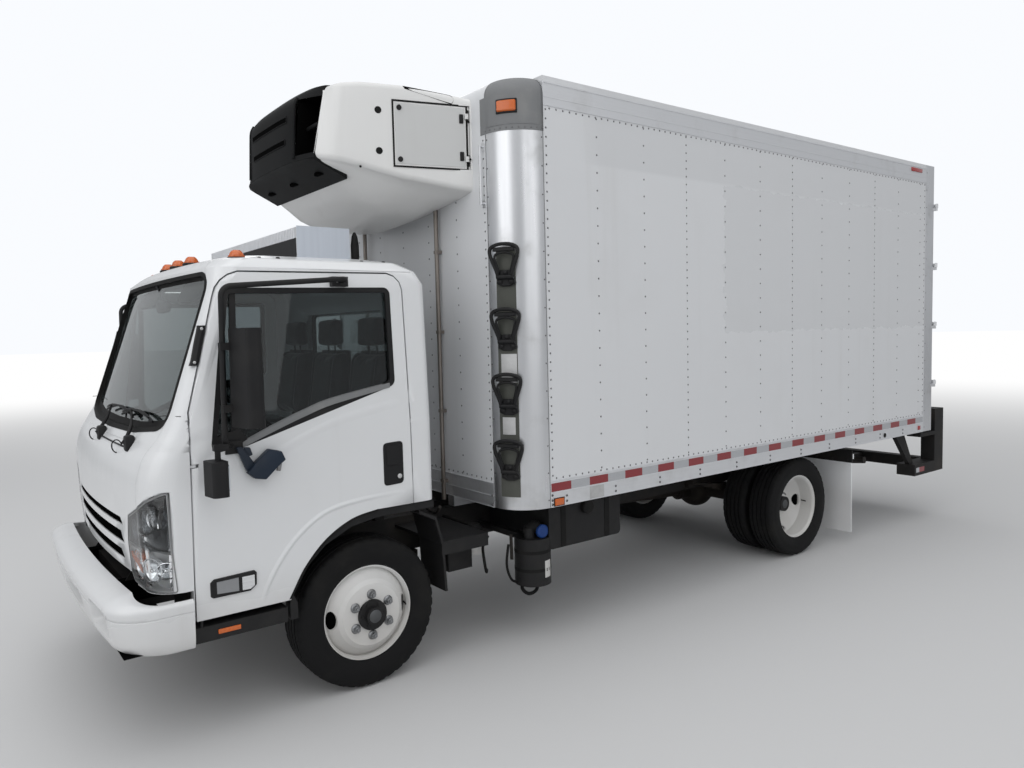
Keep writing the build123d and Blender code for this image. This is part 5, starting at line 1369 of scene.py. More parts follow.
# Red lamps, sockets and silver patch on the sides
TAIL_LAMPS_X = (0.98, 0.85)
TAIL_LAMP_Z = 0.955
TAIL_LAMP = [(0, 0.048), (0.016, 0.048), (0.022, 0.038), (0.024, 0.002)]
red = Shape()
red.slab(RAIL_FACE_X, 1.2265, 5.340, 5.540, 3.248, 3.282, 0.004)
red.slab(RAIL_FACE_X, 1.2265, 5.520, 5.560, 0.884, 0.922, 0.003)
reds = red.mirrored()
for x in (-0.20, 0.0, 0.20):
    reds.slab(x - 0.06, x + 0.06, 5.779, 5.792, 3.205, 3.240, 0.004)
for sign in (1, -1):
    for x in TAIL_LAMPS_X:
        reds.lathe("y", (sign * x, 5.776, TAIL_LAMP_Z), TAIL_LAMP, 28)
    reds.slab(sign * 1.178 - 0.028, sign * 1.178 + 0.028, 5.779, 5.790, 3.205, 3.240, 0.004)
piece("red_lamps", reds, "chassis", red_lens)
socket_rim = [(0, 0.020), (0.004, 0.020), (0.005, 0.014), (0.0055, 0.001)]
sockets = Shape().lathe("x", (RAIL_FACE_X, 4.908, 0.895), socket_rim, 20)
sides_dark = sockets.mirrored()
rim = [(0, 0.056), (0.010, 0.056), (0.013, 0.050), (0.013, 0.0475), (0, 0.0475), (0, 0.056)]
for sign in (1, -1):
    for x in TAIL_LAMPS_X:
        sides_dark.lathe("y", (sign * x, 5.778, TAIL_LAMP_Z), rim, 28)
for low, high in ((1.058, 1.083), (3.087, 3.112)):
    sides_dark.slab(-1.128, 1.128, 5.7715, 5.7785, low, high, 0.002, 1)
for x in (-1.118, 1.118):
    sides_dark.slab(x - 0.010, x + 0.010, 5.7715, 5.7785, 1.083, 3.087, 0.002, 1)
piece("lamp_rims", sides_dark, "chassis", "rubber_parts")
patch = Shape()
patch.slab(RAIL_BOLT_X, 1.2196, 1.352, 1.472, 0.864, 0.940)
patch.slab(-0.16, 0.16, 5.7795, 5.7815, 0.880, 1.020, 0.001, 1)
piece("plain_patches", patch, "chassis", silver_label)


# Rear doors
def rear_door_pieces():
    """One door's edge gasket, hinge straps and rod guides, and the other's."""
    rubber_edge = Shape().slab(0.006, 0.016, 5.7745, 5.7790, 1.070, 3.100, 0.0015, 1)
    face_y, strap_y = 5.7748, 5.7800
    metal_parts = Shape()
    for z in (1.300, 1.850, 2.400, 2.950):
        metal_parts.slab(1.000, 1.128, face_y, strap_y, z - 0.026, z + 0.026, 0.0018, 1)
        for x in (1.018, 1.052, 1.086):
            metal_parts.lathe("y", (x, 5.7795, z), [(0, 0.008), (0.003, 0.007), (0.005, 0.003)], 8)
    for z in (1.16, 1.62, 2.20, 2.70, 3.02):
        metal_parts.slab(0.172, 0.228, face_y, strap_y, z - 0.030, z + 0.030, 0.0018, 1)
        metal_parts.slab(0.182, 0.218, 5.7790, 5.8240, z - 0.010, z + 0.010, 0.003, 1)
    for side, sign in SIDES:
        edge = rubber_edge if sign > 0 else rubber_edge.other_side()
        straps = metal_parts if sign > 0 else metal_parts.other_side()
        piece(f"{side}_rear_door_edge", edge, f"rear_door_{side}", "rubber_parts")
        piece(f"{side}_rear_door_straps", straps, f"rear_door_{side}", "mill_aluminium")


rear_door_pieces()
guard = Shape()
for k in range(13):
    x = -1.02 + 0.17 * k
    guard.slab(x - 0.055, x + 0.055, 5.90, 6.085, 1.0385, 1.0415, 0.001, 1)
piece("step_treads", guard, "chassis", "chassis_paint")
tape_ends = Shape().slab(1.1885, 1.1905, 5.560, 5.720, 0.470, 0.515)
piece("guard_end_tape", tape_ends.mirrored(), "chassis", tape_finish)

# Cooling unit: latches, hinges, door gasket, dark holes
UNIT_HINGE_X = 0.826
UNIT_HINGE_Y = 0.770
SLANT = atan2(UNIT_HINGE_X - 0.610, UNIT_HINGE_Y - 0.010)
DOOR_PLACE = Matrix.Translation((UNIT_HINGE_X, UNIT_HINGE_Y, 0)) @ Matrix.Rotation(-SLANT, 4, "Z")


def on_unit(shape):
    """Places a shape drawn on the service door: x outwards, y from its hinge."""
    return Shape().add(shape, DOOR_PLACE)


latches = Shape()
knob = [(0, 0.015), (0.006, 0.015), (0.010, 0.012), (0.0105, 0.001)]
for z in (3.172, 2.884):
    latches.lathe("x", (-0.001, -0.385, z), knob, 18)
    latches.slab(-0.001, 0.014, -0.390, -0.380, z - 0.014, z + 0.014, 0.002, 1)
for z in (3.135, 2.920):
    latches.slab(-0.002, 0.010, -0.030, -0.006, z - 0.026, z + 0.026, 0.003, 1)
piece("unit_door_latches", on_unit(latches), "unit_service_door", "black_plastic")
panel = Shape().slab(-0.0005, 0.0022, -0.408, 0.002, 2.858, 3.197, 0.0012, 1)
piece("unit_door_panel", on_unit(panel), "unit_service_door", panel_finish)
gasket = Shape()
DOOR_CORNERS = ((-0.419, 2.847), (-0.419, 3.208), (0.014, 3.208), (0.014, 2.847))
door_edge = [Vector(point) for point in DOOR_CORNERS]


def on_door(y, z, inset):
    """A point on the service door, as it is drawn."""
    return (-inset, y, z)


band(gasket, grown(door_edge, 0.007), grown(door_edge, -0.0025), on_door, -0.0030, 0.012)
unit_dark = on_unit(gasket)
# Dark discs: painted shade standing for the holes in the service door
for z in (3.150, 2.925):
    hole_shade = Shape()
    hole_shade.lathe("x", (0, 0, 0), [(-0.004, 0.0195), (0.0014, 0.0195), (0.0014, 0.001)], 24)
    unit_dark.add(hole_shade, Matrix.Translation((0.6870, 0.285, z)) @ Matrix.Rotation(-SLANT, 4, "Z"))
for y, z in ((0.787, 3.117), (0.792, 2.903), (0.180, 2.832)):
    x = 0.846 if y > 0.5 else 0.655
    unit_dark.lathe("x", (x, y, z), [(0, 0.007), (0.005, 0.007), (0.007, 0.003)], 10)
piece("unit_gaskets", unit_dark.mirrored(), "chassis", "rubber_parts")

# Under the body: filter, small tank's cap, rods, hoses, tank straps
CAN_X = 0.770
CAN_Y = 0.800
HOSES = (
    (0.009, [(0.80, 0.88, 0.635), (0.86, 0.80, 0.60), (0.90, 0.78, 0.52), (0.86, 0.82, 0.44),
             (0.78, 0.88, 0.42)]),
    (0.011, [(0.93, 1.06, 0.37), (0.98, 1.00, 0.33), (1.02, 1.02, 0.30), (1.00, 1.10, 0.31),
             (0.90, 1.16, 0.36)]),
    (0.008, [(0.985, 0.90, 0.62), (0.99, 0.88, 0.50), (0.98, 0.92, 0.40), (0.96, 1.0, 0.36)]),
)
can = [(0, 0.044), (0.004, 0.050), (0.120, 0.050), (0.126, 0.044), (0.126, 0.001)]
filters = Shape().lathe("z", (CAN_X, CAN_Y, 0.540), can, 24)
piece("filter_canister", filters, "chassis", white_can)
under = Shape()
can_head = [(0, 0.056), (0.030, 0.056), (0.036, 0.050), (0.060, 0.034), (0.060, 0.001)]
under.lathe("z", (CAN_X, CAN_Y, 0.664), can_head, 20)
under.slab(0.420, CAN_X, CAN_Y - 0.015, CAN_Y + 0.015, 0.700, 0.716, 0.003)
for radius, route in HOSES:
    under.tube(rounded(route, 6), radius, 8)
for y in (1.250, 1.620):
    under.slab(0.468, 1.0885, y - 0.020, y + 0.020, 0.8395, 0.8430, 0.001, 1)
    under.slab(1.0845, 1.0885, y - 0.020, y + 0.020, 0.565, 0.8430, 0.001, 1)
under.lathe("x", (1.080, 1.440, 0.785), [(0, 0.046), (0.030, 0.046), (0.036, 0.040), (0.037, 0.001)], 28)
neck = [
    (1.010, 1.040, 0.660), (1.012, 1.044, 0.700), (1.020, 1.070, 0.712), (1.036, 1.092, 0.694),
    (1.056, 1.098, 0.682),
]
under.tube(rounded(neck, 4), 0.034, 14)
for z in (0.45, 0.56):
    ring = [(-0.010, 0.1135), (0.010, 0.1135), (0.010, 0.1105), (-0.010, 0.1105), (-0.010, 0.1135)]
    under.lathe("z", (0.985, 1.083, z), ring, 32)
piece("under_fittings", under, "chassis", "rubber_parts")
lid = [(0, 0.038), (0.004, 0.042), (0.020, 0.042), (0.026, 0.034), (0.026, 0.001)]
cap = Shape().lathe("x", (1.052, 1.098, 0.680), lid, 24)
piece("tank_cap", cap, "chassis", blue_cap)
tank_label = Shape()
turns = [radians(3 + 28 * k / 8) for k in range(9)]
face = [(0.985 + 0.1132 * cos(turn), 1.083 + 0.1132 * sin(turn)) for turn in turns]
face += [(0.985 + 0.1115 * cos(turn), 1.083 + 0.1115 * sin(turn)) for turn in reversed(turns)]
tank_label.prism("z", face, 0.402, 0.505)
piece("tank_label", tank_label, "chassis", white_can)
steel = Shape()
steel.tube([(0.965, 0.935, 0.672), (0.975, 0.930, 0.520)], 0.010, 10)
hanger = [(0.70, 0.47, 0.92), (0.72, 0.50, 0.86), (0.82, 0.50, 0.85), (0.90, 0.48, 0.90)]
steel.tube(rounded(hanger, 5), 0.010, 8)
piece("under_rods", steel, "chassis", "axle_steel")
flap_trim = Shape()
flap_trim.slab(0.636, 1.176, 4.4375, 4.4545, 0.700, 0.806, 0.002, 1)
bolt_head = [(0, 0.010), (-0.005, 0.010), (-0.007, 0.006), (-0.007, 0.001)]
for x in (0.70, 0.85, 1.0, 1.13):
    flap_trim.lathe("y", (x, 4.4385, 0.720), bolt_head, 10)
piece("flap_hangers", flap_trim.mirrored(), "chassis", "chassis_paint")

# Grille mesh behind the slots
# Near-black plates and bars: the grille's black mesh, darkened further as painted shade inside the slots
mesh_plates = Shape()
for low, high, half in ((1.015, 1.055, 0.628), (0.927, 0.988, 0.622), (0.839, 0.893, 0.592)):
    outline = [(-half + 2 * half * k / 24, low) for k in range(25)]
    outline += [(half - 2 * half * k / 24, high) for k in range(25)]
    pad(mesh_plates, outline, on_front, 0.008, 0.012)
for k in range(61):
    x = -0.58 + 0.0193 * k
    for low, high in ((1.018, 1.052), (0.930, 0.985), (0.842, 0.890)):
        a = on_front(x, low, 0.006)
        b = on_front(x, high, 0.006)
        mesh_plates.tube([a, b], 0.0022, 4)
piece("grille_mesh", mesh_plates, "cab", void_black)

# Cab inside: mirror, visors, lining at the back window, lever
inside = Shape()
inside.tube(rounded([(0, -0.770, 2.195), (0, -0.745, 2.150), (0, -0.735, 2.100)], 4), 0.007, 8)
glass_mirror = oval(0.250, 0.070, 28, 3.0)
inside.prism("y", [(x, z + 2.075) for x, z in glass_mirror], -0.745, -0.722, 0.005)
for x in (0.46, -0.46):
    visor = oval(0.44, 0.13, 28, 5.0)
    placed = Shape()
    placed.prism("y", visor, -0.010, 0.010, 0.006)
    inside.add(placed, Matrix.Translation((x, -0.690, 2.140)) @ Matrix.Rotation(-0.5, 4, "X"))
inside.tube(rounded([(0.22, -0.40, 1.12), (0.21, -0.42, 1.28), (0.20, -0.45, 1.36)], 4), 0.012, 8)
lever_knob = [(0, 0.014), (0.020, 0.024), (0.045, 0.024), (0.060, 0.012), (0.062, 0.001)]
inside.lathe("z", (0.20, -0.45, 1.350), lever_knob, 14)
for z in (1.215, 1.245):
    inside.slab(-0.70, 0.70, -0.642, -0.636, z - 0.010, z + 0.004, 0.002, 1)
piece("cab_fittings", inside, "cab", "interior_trim")


# Seats: cushions, backs and headrests blown up as cloth, on plain pedestals
CLOTH_FRAMES = 20


def stuffed(name, outline, x0, x1, edge, voxel, pressure, cap):
    """A crowned pad from a side outline, swollen by air pressure with its corners held in."""
    block = Shape()
    block.prism("x", outline, x0, x1, edge, 3)
    mesh = block.mesh(name)
    pad_object = added(name, mesh)
    remesh = pad_object.modifiers.new("even_grid", "REMESH")
    remesh.mode = "VOXEL"
    remesh.voxel_size = voxel
    even = evaluated_mesh(pad_object)
    pad_object.modifiers.clear()
    pad_object.data = even
    start = [vertex.co.copy() for vertex in even.vertices]
    swell = pad_object.modifiers.new("air", "CLOTH")
    swell.settings.use_pressure = True
    swell.settings.uniform_pressure_force = pressure
    swell.settings.tension_stiffness = 25
    swell.settings.compression_stiffness = 25
    swell.settings.bending_stiffness = 1.5
    swell.settings.effector_weights.gravity = 0
    swell.collision_settings.use_collision = False
    for number in range(1, CLOTH_FRAMES + 1):
        bpy.context.scene.frame_set(number)
    settled = evaluated_mesh(pad_object)
    for vertex, rest in zip(settled.vertices, start):
        shift = vertex.co - rest
        if shift.length > cap:
            vertex.co = rest + shift.normalized() * cap
    pad_object.modifiers.clear()
    pad_object.data = settled
    bpy.context.scene.frame_set(1)
    result = pad_object.data
    bpy.data.objects.remove(pad_object)
    return result


CUSHION = [(-0.285, 1.245), (-0.290, 1.315), (-0.255, 1.340), (0.170, 1.325), (0.170, 1.240)]
BACK = [(0.185, 1.350), (0.165, 1.400), (0.225, 1.800), (0.290, 1.800), (0.300, 1.350)]
HEADREST = [(0.215, 1.835), (0.220, 1.975), (0.235, 1.992), (0.290, 1.992), (0.292, 1.835)]


def grooved(mesh, centres, depth, width):
    """Presses sewn channels into a pad, across its width."""
    for vertex in mesh.vertices:
        for centre in centres:
            gap = abs(vertex.co.x - centre)
            if gap < width:
                push = depth * cos(gap / width * pi / 2) ** 2
                vertex.co -= vertex.normal * push


seat_parts = {
    "cushion": stuffed("cushion", CUSHION, -0.225, 0.225, 0.02, 0.009, 4.0, 0.022),
    "back": stuffed("back", BACK, -0.215, 0.215, 0.02, 0.009, 4.0, 0.022),
    "headrest": stuffed("headrest", HEADREST, -0.125, 0.125, 0.02, 0.008, 4.0, 0.014),
}
for mesh in (seat_parts["cushion"], seat_parts["back"]):
    grooved(mesh, (-0.135, 0.135), 0.009, 0.014)
HINGE_KNOB = [(-0.01, 0.036), (0.01, 0.036), (0.016, 0.026)]
pedestals = Shape()
for label, centre in (("driver", 0.570), ("centre", 0.0), ("passenger", -0.570)):
    for part, mesh in seat_parts.items():
        own = mesh.copy()
        own.transform(Matrix.Translation((centre, 0, 0)))
        own.shade_smooth()
        made = piece(f"{label}_seat_{part}", own, "cab", "seat_cloth")
    low = 1.151 if centre == 0 else 1.010
    pedestals.slab(centre - 0.21, centre + 0.21, -0.240, 0.280, low, 1.250, 0.01)
    for x in (-0.05, 0.05):
        pedestals.tube([(centre + x, 0.262, 1.780), (centre + x, 0.256, 1.860)], 0.006, 8)
    pedestals.slab(centre - 0.200, centre + 0.200, 0.275, 0.300, 1.255, 1.800, 0.008)
    pedestals.lathe("x", (centre + 0.232, 0.225, 1.300), HINGE_KNOB, 18)
pedestal_piece = piece("seat_pedestals", pedestals, "cab", "interior_trim")
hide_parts("seats")

# Roof deflector: ribs on its face
deflector_ribs = Shape()
for k in range(64):
    x = -0.895 + 0.0232 * k
    deflector_ribs.slab(x, x + 0.006, -0.1935, -0.1885, 2.422, 2.480, 0.0008, 1)
piece("deflector_ribs", deflector_ribs, "cab", "mill_aluminium")


# The bumper, as one clean skin. Its plan: (height, nose middle, nose edge, half width)
BUMPER_ROWS = [
    (0.488, -1.215, -1.180, 1.022), (0.560, -1.268, -1.240, 1.040), (0.700, -1.290, -1.262, 1.045)
]
# The shelf on top, from the face back: (inset, height)
SHELF_FRONT = [
    (0.0, 0.700), (0.004, 0.712), (0.013, 0.725), (0.027, 0.736), (0.046, 0.746), (0.075, 0.755),
    (0.122, 0.760),
]
SHELF_SIDE = [
    (0.0, 0.700), (0.001, 0.706), (0.004, 0.712), (0.009, 0.717), (0.016, 0.720), (0.021, 0.720),
    (0.026, 0.719),
]
GROOVE_Z = 0.664
BUMPER_END_Y = -0.916
CORNER_ACROSS = 0.200
CORNER_ALONG = 0.190
# Fog lamp recesses and the middle one: (x, half width, z, half height, depth)
BUMPER_RECESSES = ((0.730, 0.148, 0.628, 0.062, 0.050), (0, 0.345, 0.615, 0.042, 0.055))


def bumper_row(z):
    """The bumper's plan at a height: nose middle, nose edge, half width."""
    low, high = BUMPER_ROWS[0], BUMPER_ROWS[1]
    if z > high[0]:
        low, high = BUMPER_ROWS[1], BUMPER_ROWS[2]
    share = min(1, max(0, (z - low[0]) / (high[0] - low[0])))
    share = share * (2 - share) if low is BUMPER_ROWS[0] else share
    return [a + (b - a) * share for a, b in zip(low[1:], high[1:])]


def on_bumper(run, z, inset):
    """A point of the bumper: run goes 0 middle, 1 corner's start, 2 corner's end, 3 rear end."""
    middle, edge, half = bumper_row(z)
    side = copysign(1, run)
    run = abs(run)
    middle, edge, half = middle + inset, edge + inset, half - inset
    straight = half - CORNER_ACROSS + inset
    if run <= 1:
        return (side * straight * run, middle + (edge - middle) * run**2, z)
    if run <= 2:
        turn = (run - 1) * pi / 2
        x = straight + (half - straight) * sin(turn)
        return (side * x, edge + (CORNER_ALONG - inset) * (1 - cos(turn)), z)
    start = edge + CORNER_ALONG - inset
    return (side * half, start + (BUMPER_END_Y - start) * (run - 2), z)


def bumper_skin():
    """Rings from the lower edge up the face and over the shelf, from one end to the other."""
    runs = [k / 64 for k in range(64)] + [1 + k / 14 for k in range(14)] + [2 + k / 6 for k in range(7)]
    runs = [-run for run in reversed(runs[1:])] + runs
    heights = [0.488, 0.492, 0.505, 0.520, 0.535, 0.548] + [0.560 + 0.0092 * k for k in range(11)]
    heights += [GROOVE_Z - 0.005, GROOVE_Z - 0.002, GROOVE_Z + 0.002, GROOVE_Z + 0.005, 0.678, 0.688]
    rings = []
    for run in runs:
        share = min(1, max(0, 2.15 - abs(run)))
        share = share * share * (3 - 2 * share)
        ring = [on_bumper(run, 0.492, 0.024)]
        for z in heights:
            x, y, z = on_bumper(run, z, 0.0)
            inset = 0.006 if z == 0.488 else 0.0
            if abs(z - GROOVE_Z) < 0.003 and abs(run) > 0.985:
                inset = 0.004
            for centre, half_x, middle, half_z, depth in BUMPER_RECESSES:
                reach = (abs((abs(x) - centre) / half_x) ** 5 + abs((z - middle) / half_z) ** 5) ** 0.2
                fall = min(1, max(0, (1.06 - reach) / 0.22))
                inset += depth * fall * fall * (3 - 2 * fall)
            ring.append(on_bumper(run, z, inset))
        for (front_inset, front_z), (side_inset, side_z) in zip(SHELF_FRONT, SHELF_SIDE):
            inset = side_inset + (front_inset - side_inset) * share
            x, y, low = on_bumper(run, 0.700, inset)
            ring.append((x, y, side_z + (front_z - side_z) * share))
        last = ring[-1]
        ring.append((last[0], last[1] + 0.001, last[2] - 0.024))
        x, y, low = on_bumper(run, 0.690, 0.026)
        ring.append((x, y, 0.688))
        rings.append(ring)
    skin = Shape()
    skin.skin(rings)
    return skin


bumper_piece = piece("front_bumper_skin", bumper_skin(), "chassis", "cab_paint", angle=50)
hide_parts("front_bumper")
# Near-black plates that paint shade: inside the middle opening, on the brackets behind the bumper and
# under it
bumper_shade_plates = Shape()
bumper_shade_plates.slab(-0.318, 0.318, -1.2290, -1.2240, 0.590, 0.640)
for sign in (1, -1):
    bumper_shade_plates.slab(sign * 0.395 - 0.035, sign * 0.395 + 0.035, -1.235, -0.880, 0.580, 0.690, 0.004, 1)
bumper_shade_plates.slab(-0.985, 0.985, -1.205, -0.925, 0.500, 0.506)
piece("bumper_brackets", bumper_shade_plates, "chassis", void_black)

# The cooling unit's housing, nose and belly, as one rounded skin
UNIT_ROLL = 0.034
NOSE_LOW_Z = 2.884
INTAKE_X = (0.372, 0.518)
INTAKE_Z = (2.912, 3.230)
VENT_Y = 0.062
# Tables by y: the top's height, the half width, the flank's lower edge, the belly
UNIT_TOPS = [
    (-0.060, 3.268), (-0.020, 3.286), (0.060, 3.304), (0.200, 3.320), (0.420, 3.327), (0.807, 3.303)
]
UNIT_WIDTHS = [
    (-0.045, 0.522), (-0.030, 0.533), (0.0, 0.565), (0.030, 0.595), (0.075, 0.627), (0.770, 0.825),
    (0.807, 0.849),
]
UNIT_CREASES = [(-0.060, 2.886), (0.170, 2.836), (0.420, 2.775), (0.620, 2.745), (0.807, 2.717)]
UNIT_BELLIES = [
    (-0.060, 0.515, 2.885, 2.884), (0.150, 0.495, 2.787, 2.787), (0.270, 0.450, 2.674, 2.648),
    (0.420, 0.450, 2.612, 2.566), (0.640, 0.470, 2.615, 2.570), (0.807, 0.520, 2.674, 2.634),
]


def top_fall(x):
    """How far the top falls towards its sides."""
    return 0.040 * (x / 0.84) ** 5


def unit_section(y, floors):
    """Half a section at y, from the keel up round the flank to the middle of the top."""
    width = between(UNIT_WIDTHS, y)[0]
    top = between(UNIT_TOPS, y)[0]
    crease = between(UNIT_CREASES, y)[0]
    flank, flank_z, keel = between(UNIT_BELLIES, y)
    roll = UNIT_ROLL
    points = []
    for k in range(7):
        share = k / 6
        points.append((flank * share, keel + (flank_z - keel) * share**2))
    inner = Vector((width - roll, crease - 0.004))
    for k in (1, 2, 3, 4):
        share = k / 5
        points.append((flank + (inner.x - flank) * share, flank_z + (inner.y - flank_z) * share**1.1))
    for k in range(7):
        turn = k / 6 * pi / 2
        points.append((width - roll + roll * sin(turn), crease + roll - roll * cos(turn)))
    edge_z = top - top_fall(width) - 0.004
    points += [(width, z) for z in floors]
    for k in range(8):
        turn = k / 7 * pi / 2
        points.append((width - roll + roll * cos(turn), edge_z - roll + roll * sin(turn)))
    for k in range(1, 11):
        x = (width - roll) * (1 - k / 10)
        level = top - top_fall(x)
        points.append((x, level + (edge_z - level) * (1 - k / 10) ** 6))
    return points


def housing_point(x, y, z):
    """Leans the front of the shell back towards its top."""
    fade = max(0, 1 - (y + 0.040) / 0.300) ** 2
    return (x, y + 0.085 * fade * min(1, max(0, (z - NOSE_LOW_Z) / 0.42)), z)


def unit_shell():
    """The housing, with a pocket in each flank for the service door."""
    floors = [2.940, 3.000, 3.060, 3.120, 3.180]
    pocket_low, pocket_high = 2.844, 3.211
    start, end = UNIT_HINGE_Y - 0.422 * cos(SLANT), UNIT_HINGE_Y + 0.030 * cos(SLANT)
    stations = [
        -0.040, -0.028, -0.015, 0.0, 0.015, 0.030, 0.050, 0.075, 0.105, 0.150, 0.200, 0.270, 0.320
    ]
    stations += [start, 0.420, 0.480, 0.540, 0.600, 0.640, 0.700, end, 0.807]
    rows = []
    for y in stations:
        low, high = (pocket_low, pocket_high) if y > 0.3 else (2.925, 3.200)
        half = unit_section(y, [low] + floors + [high])
        left = [housing_point(x, y, z) for x, z in half]
        right = [housing_point(-x, y, z) for x, z in reversed(half[1:-1])]
        rows.append(left + right)
    shell = Shape()
    bm = shell.bm
    grid = [[bm.verts.new(point) for point in ring] for ring in rows]
    count = len(grid[0])
    # A section's flank comes after 7 points of the keel, 4 of the belly and 7 of the roll
    low_index = 7 + 4 + 7
    high_index = low_index + len(floors) + 1
    first, last = stations.index(start), stations.index(end)
    for i in range(len(grid) - 1):
        for j in range(count):
            if first <= i < last and low_index <= j < high_index:
                continue
            k = (j + 1) % count
            bm.faces.new((grid[i][j], grid[i][k], grid[i + 1][k], grid[i + 1][j]))
    bm.faces.new(grid[-1])
    depth = Vector((cos(SLANT), -sin(SLANT), 0)) * -0.037
    edge = [grid[i][low_index] for i in range(first, last + 1)]
    edge += [grid[last][j] for j in range(low_index + 1, high_index + 1)]
    edge += [grid[i][high_index] for i in range(last - 1, first - 1, -1)]
    edge += [grid[first][j] for j in range(high_index - 1, low_index, -1)]
    inner = [bm.verts.new(vertex.co + depth) for vertex in edge]
    for i in range(len(edge)):
        k = (i + 1) % len(edge)
        bm.faces.new((edge[i], edge[k], inner[k], inner[i]))
    bm.faces.new(inner)
    return shell


housing_piece = piece("unit_housing_skin", unit_shell(), "chassis", "unit_shell", angle=40)
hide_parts("unit_housing")
hinge_cover = Shape()
hinge_cover.slab(-0.030, -0.0005, 0.013, 0.031, 2.930, 3.118, 0.002, 1)
for z in (2.853, 3.196):
    hinge_cover.slab(-0.030, -0.0005, 0.013, 0.031, z - 0.008, z + 0.012, 0.002, 1)
piece("unit_hinge_cover", on_unit(hinge_cover), "chassis", "unit_shell")


def on_roll(y, turn, inset):
    """A point on the rounded edge between flank and top."""
    width = between(UNIT_WIDTHS, y)[0]
    roll_z = between(UNIT_TOPS, y)[0] - top_fall(width) - 0.004 - UNIT_ROLL
    reach = UNIT_ROLL - inset
    if turn < 0:
        return (width - inset, y, roll_z + UNIT_ROLL * turn)
    return (width - UNIT_ROLL + reach * cos(turn), y, roll_z + reach * sin(turn))


# Dark pads on the rounded edge: painted shade standing for the outlet openings in the housing
outlet_shade = Shape()
outlet_edge = eased(
    [(0.432, 1.05), (0.436, 0.35), (0.560, -0.15), (0.700, -0.75), (0.714, 0.05), (0.700, 1.15)],
    0.02, 4, 0.04,
)
pad(outlet_shade, outlet_edge, on_roll, -0.0016, 0.004)
piece("unit_outlets", outlet_shade.mirrored(), "chassis", void_black)


# The nose: a bowed black front with deep side intakes and a chin under it
def nose_front(x, z, inset=0.0):
    """A point on the bowed front, seen from ahead; it leans back and rolls over at the top."""
    bow = 0.062 * (abs(x) / 0.52) ** 3.3
    share = (z - NOSE_LOW_Z) / 0.416
    side = min(1, max(0, (abs(x) - 0.350) / 0.170))
    roll = max(0, (z - 3.175) / 0.120) ** 2.2 * 0.085
    lean = (0.014 * share + roll) * (1 - side) + 0.088 * share * side
    return (x, -0.1035 + bow + lean + inset, z)


def unit_nose():
    """The bowed front with an opening for each intake."""
    columns = [
        0.0, 0.06, 0.12, 0.18, 0.24, 0.30, 0.345, 0.352, 0.372, 0.380, 0.42, 0.46, 0.500, 0.518, 0.530
    ]
    columns = [-x for x in reversed(columns[1:])] + columns
    levels = [
        NOSE_LOW_Z, 2.892, 2.904, 2.912, 2.95, 2.99, 3.03, 3.07, 3.11, 3.15, 3.18, 3.205, 3.230,
        3.250, 3.265, 3.276,
    ]
    nose = Shape()
    bm = nose.bm

    def height(x, z):
        rise = 0.022 - 0.012 * (abs(x) / 0.530) ** 3
        return z + rise * max(0, (z - 3.23) / 0.046)

    grid = [[bm.verts.new(nose_front(x, height(x, z))) for z in levels] for x in columns]
    for i in range(len(columns) - 1):
        for j in range(len(levels) - 1):
            middle = abs(columns[i] + columns[i + 1]) / 2
            height_here = (levels[j] + levels[j + 1]) / 2
            if INTAKE_X[0] < middle < INTAKE_X[1] and INTAKE_Z[0] < height_here < INTAKE_Z[1]:
                continue
            bm.faces.new((grid[i][j], grid[i + 1][j], grid[i + 1][j + 1], grid[i][j + 1]))
    back = [
        bm.verts.new((vertex.co.x, 0.090, vertex.co.z + 0.006))
        for vertex in (column[-1] for column in grid)
    ]
    for i in range(len(columns) - 1):
        bm.faces.new((grid[i][-1], grid[i + 1][-1], back[i + 1], back[i]))
    for k in (0, -1):
        side = grid[k]
        inner = [bm.verts.new((vertex.co.x, 0.075, vertex.co.z)) for vertex in side]
        for j in range(len(levels) - 1):
            bm.faces.new((side[j], side[j + 1], inner[j + 1], inner[j]))
    return nose


def intake_outline(sign):
    """The corners of one opening in the nose."""
    (near, far), (low, high) = INTAKE_X, INTAKE_Z
    outline = [(near, low), (far, low), (far, high), (near, high)]
    return [Vector((sign * x, z)) for x, z in outline]


nose_shape = unit_nose()
slots = Shape()
for sign in (1, -1):
    outline = intake_outline(sign)
    for (x0, z0), (x1, z1) in zip(outline, outline[1:] + outline[:1]):
        a, b = nose_front(x0, z0, 0.003), nose_front(x1, z1, 0.003)
        quad = [a, b, (b[0], 0.110, b[2]), (a[0], 0.110, a[2])]
        slots.bm.faces.new([slots.bm.verts.new(point) for point in quad])
    slots.slab(sign * 0.446 - 0.076, sign * 0.446 + 0.076, 0.100, 0.112, 2.90, 3.24)
    nose_shape.slab(sign * 0.446 - 0.071, sign * 0.446 + 0.071, -0.010, 0.012, 3.060, 3.080, 0.004, 1)
    bar = [
        nose_front(sign * (0.361 + 0.010 * (z - 2.9)), z, -0.003)
        for z in (2.90, 2.98, 3.06, 3.14, 3.20, 3.24)
    ]
    nose_shape.tube(rounded(bar, 3), 0.009, 8)
for z0, z1, half in ((3.118, 3.150, 0.280), (2.994, 3.026, 0.258)):
    low = [(half * (k - 12) / 12, z0) for k in range(25)]
    high = [(half * (12 - k) / 12, z1) for k in range(25)]
    for k in range(24):
        quad = [low[k], low[k + 1], high[23 - k], high[24 - k]]
        slots.bm.faces.new([slots.bm.verts.new(nose_front(x, z, -0.0016)) for x, z in quad])
    rim_line = [
        nose_front(x, z, -0.001)
        for x, z in low + [(half + 0.004, (z0 + z1) / 2)] + high + [(-half - 0.004, (z0 + z1) / 2)]
    ]
    nose_shape.tube(rim_line, 0.0036, 6, loop=True)
chin = Shape()
chin_rows = []
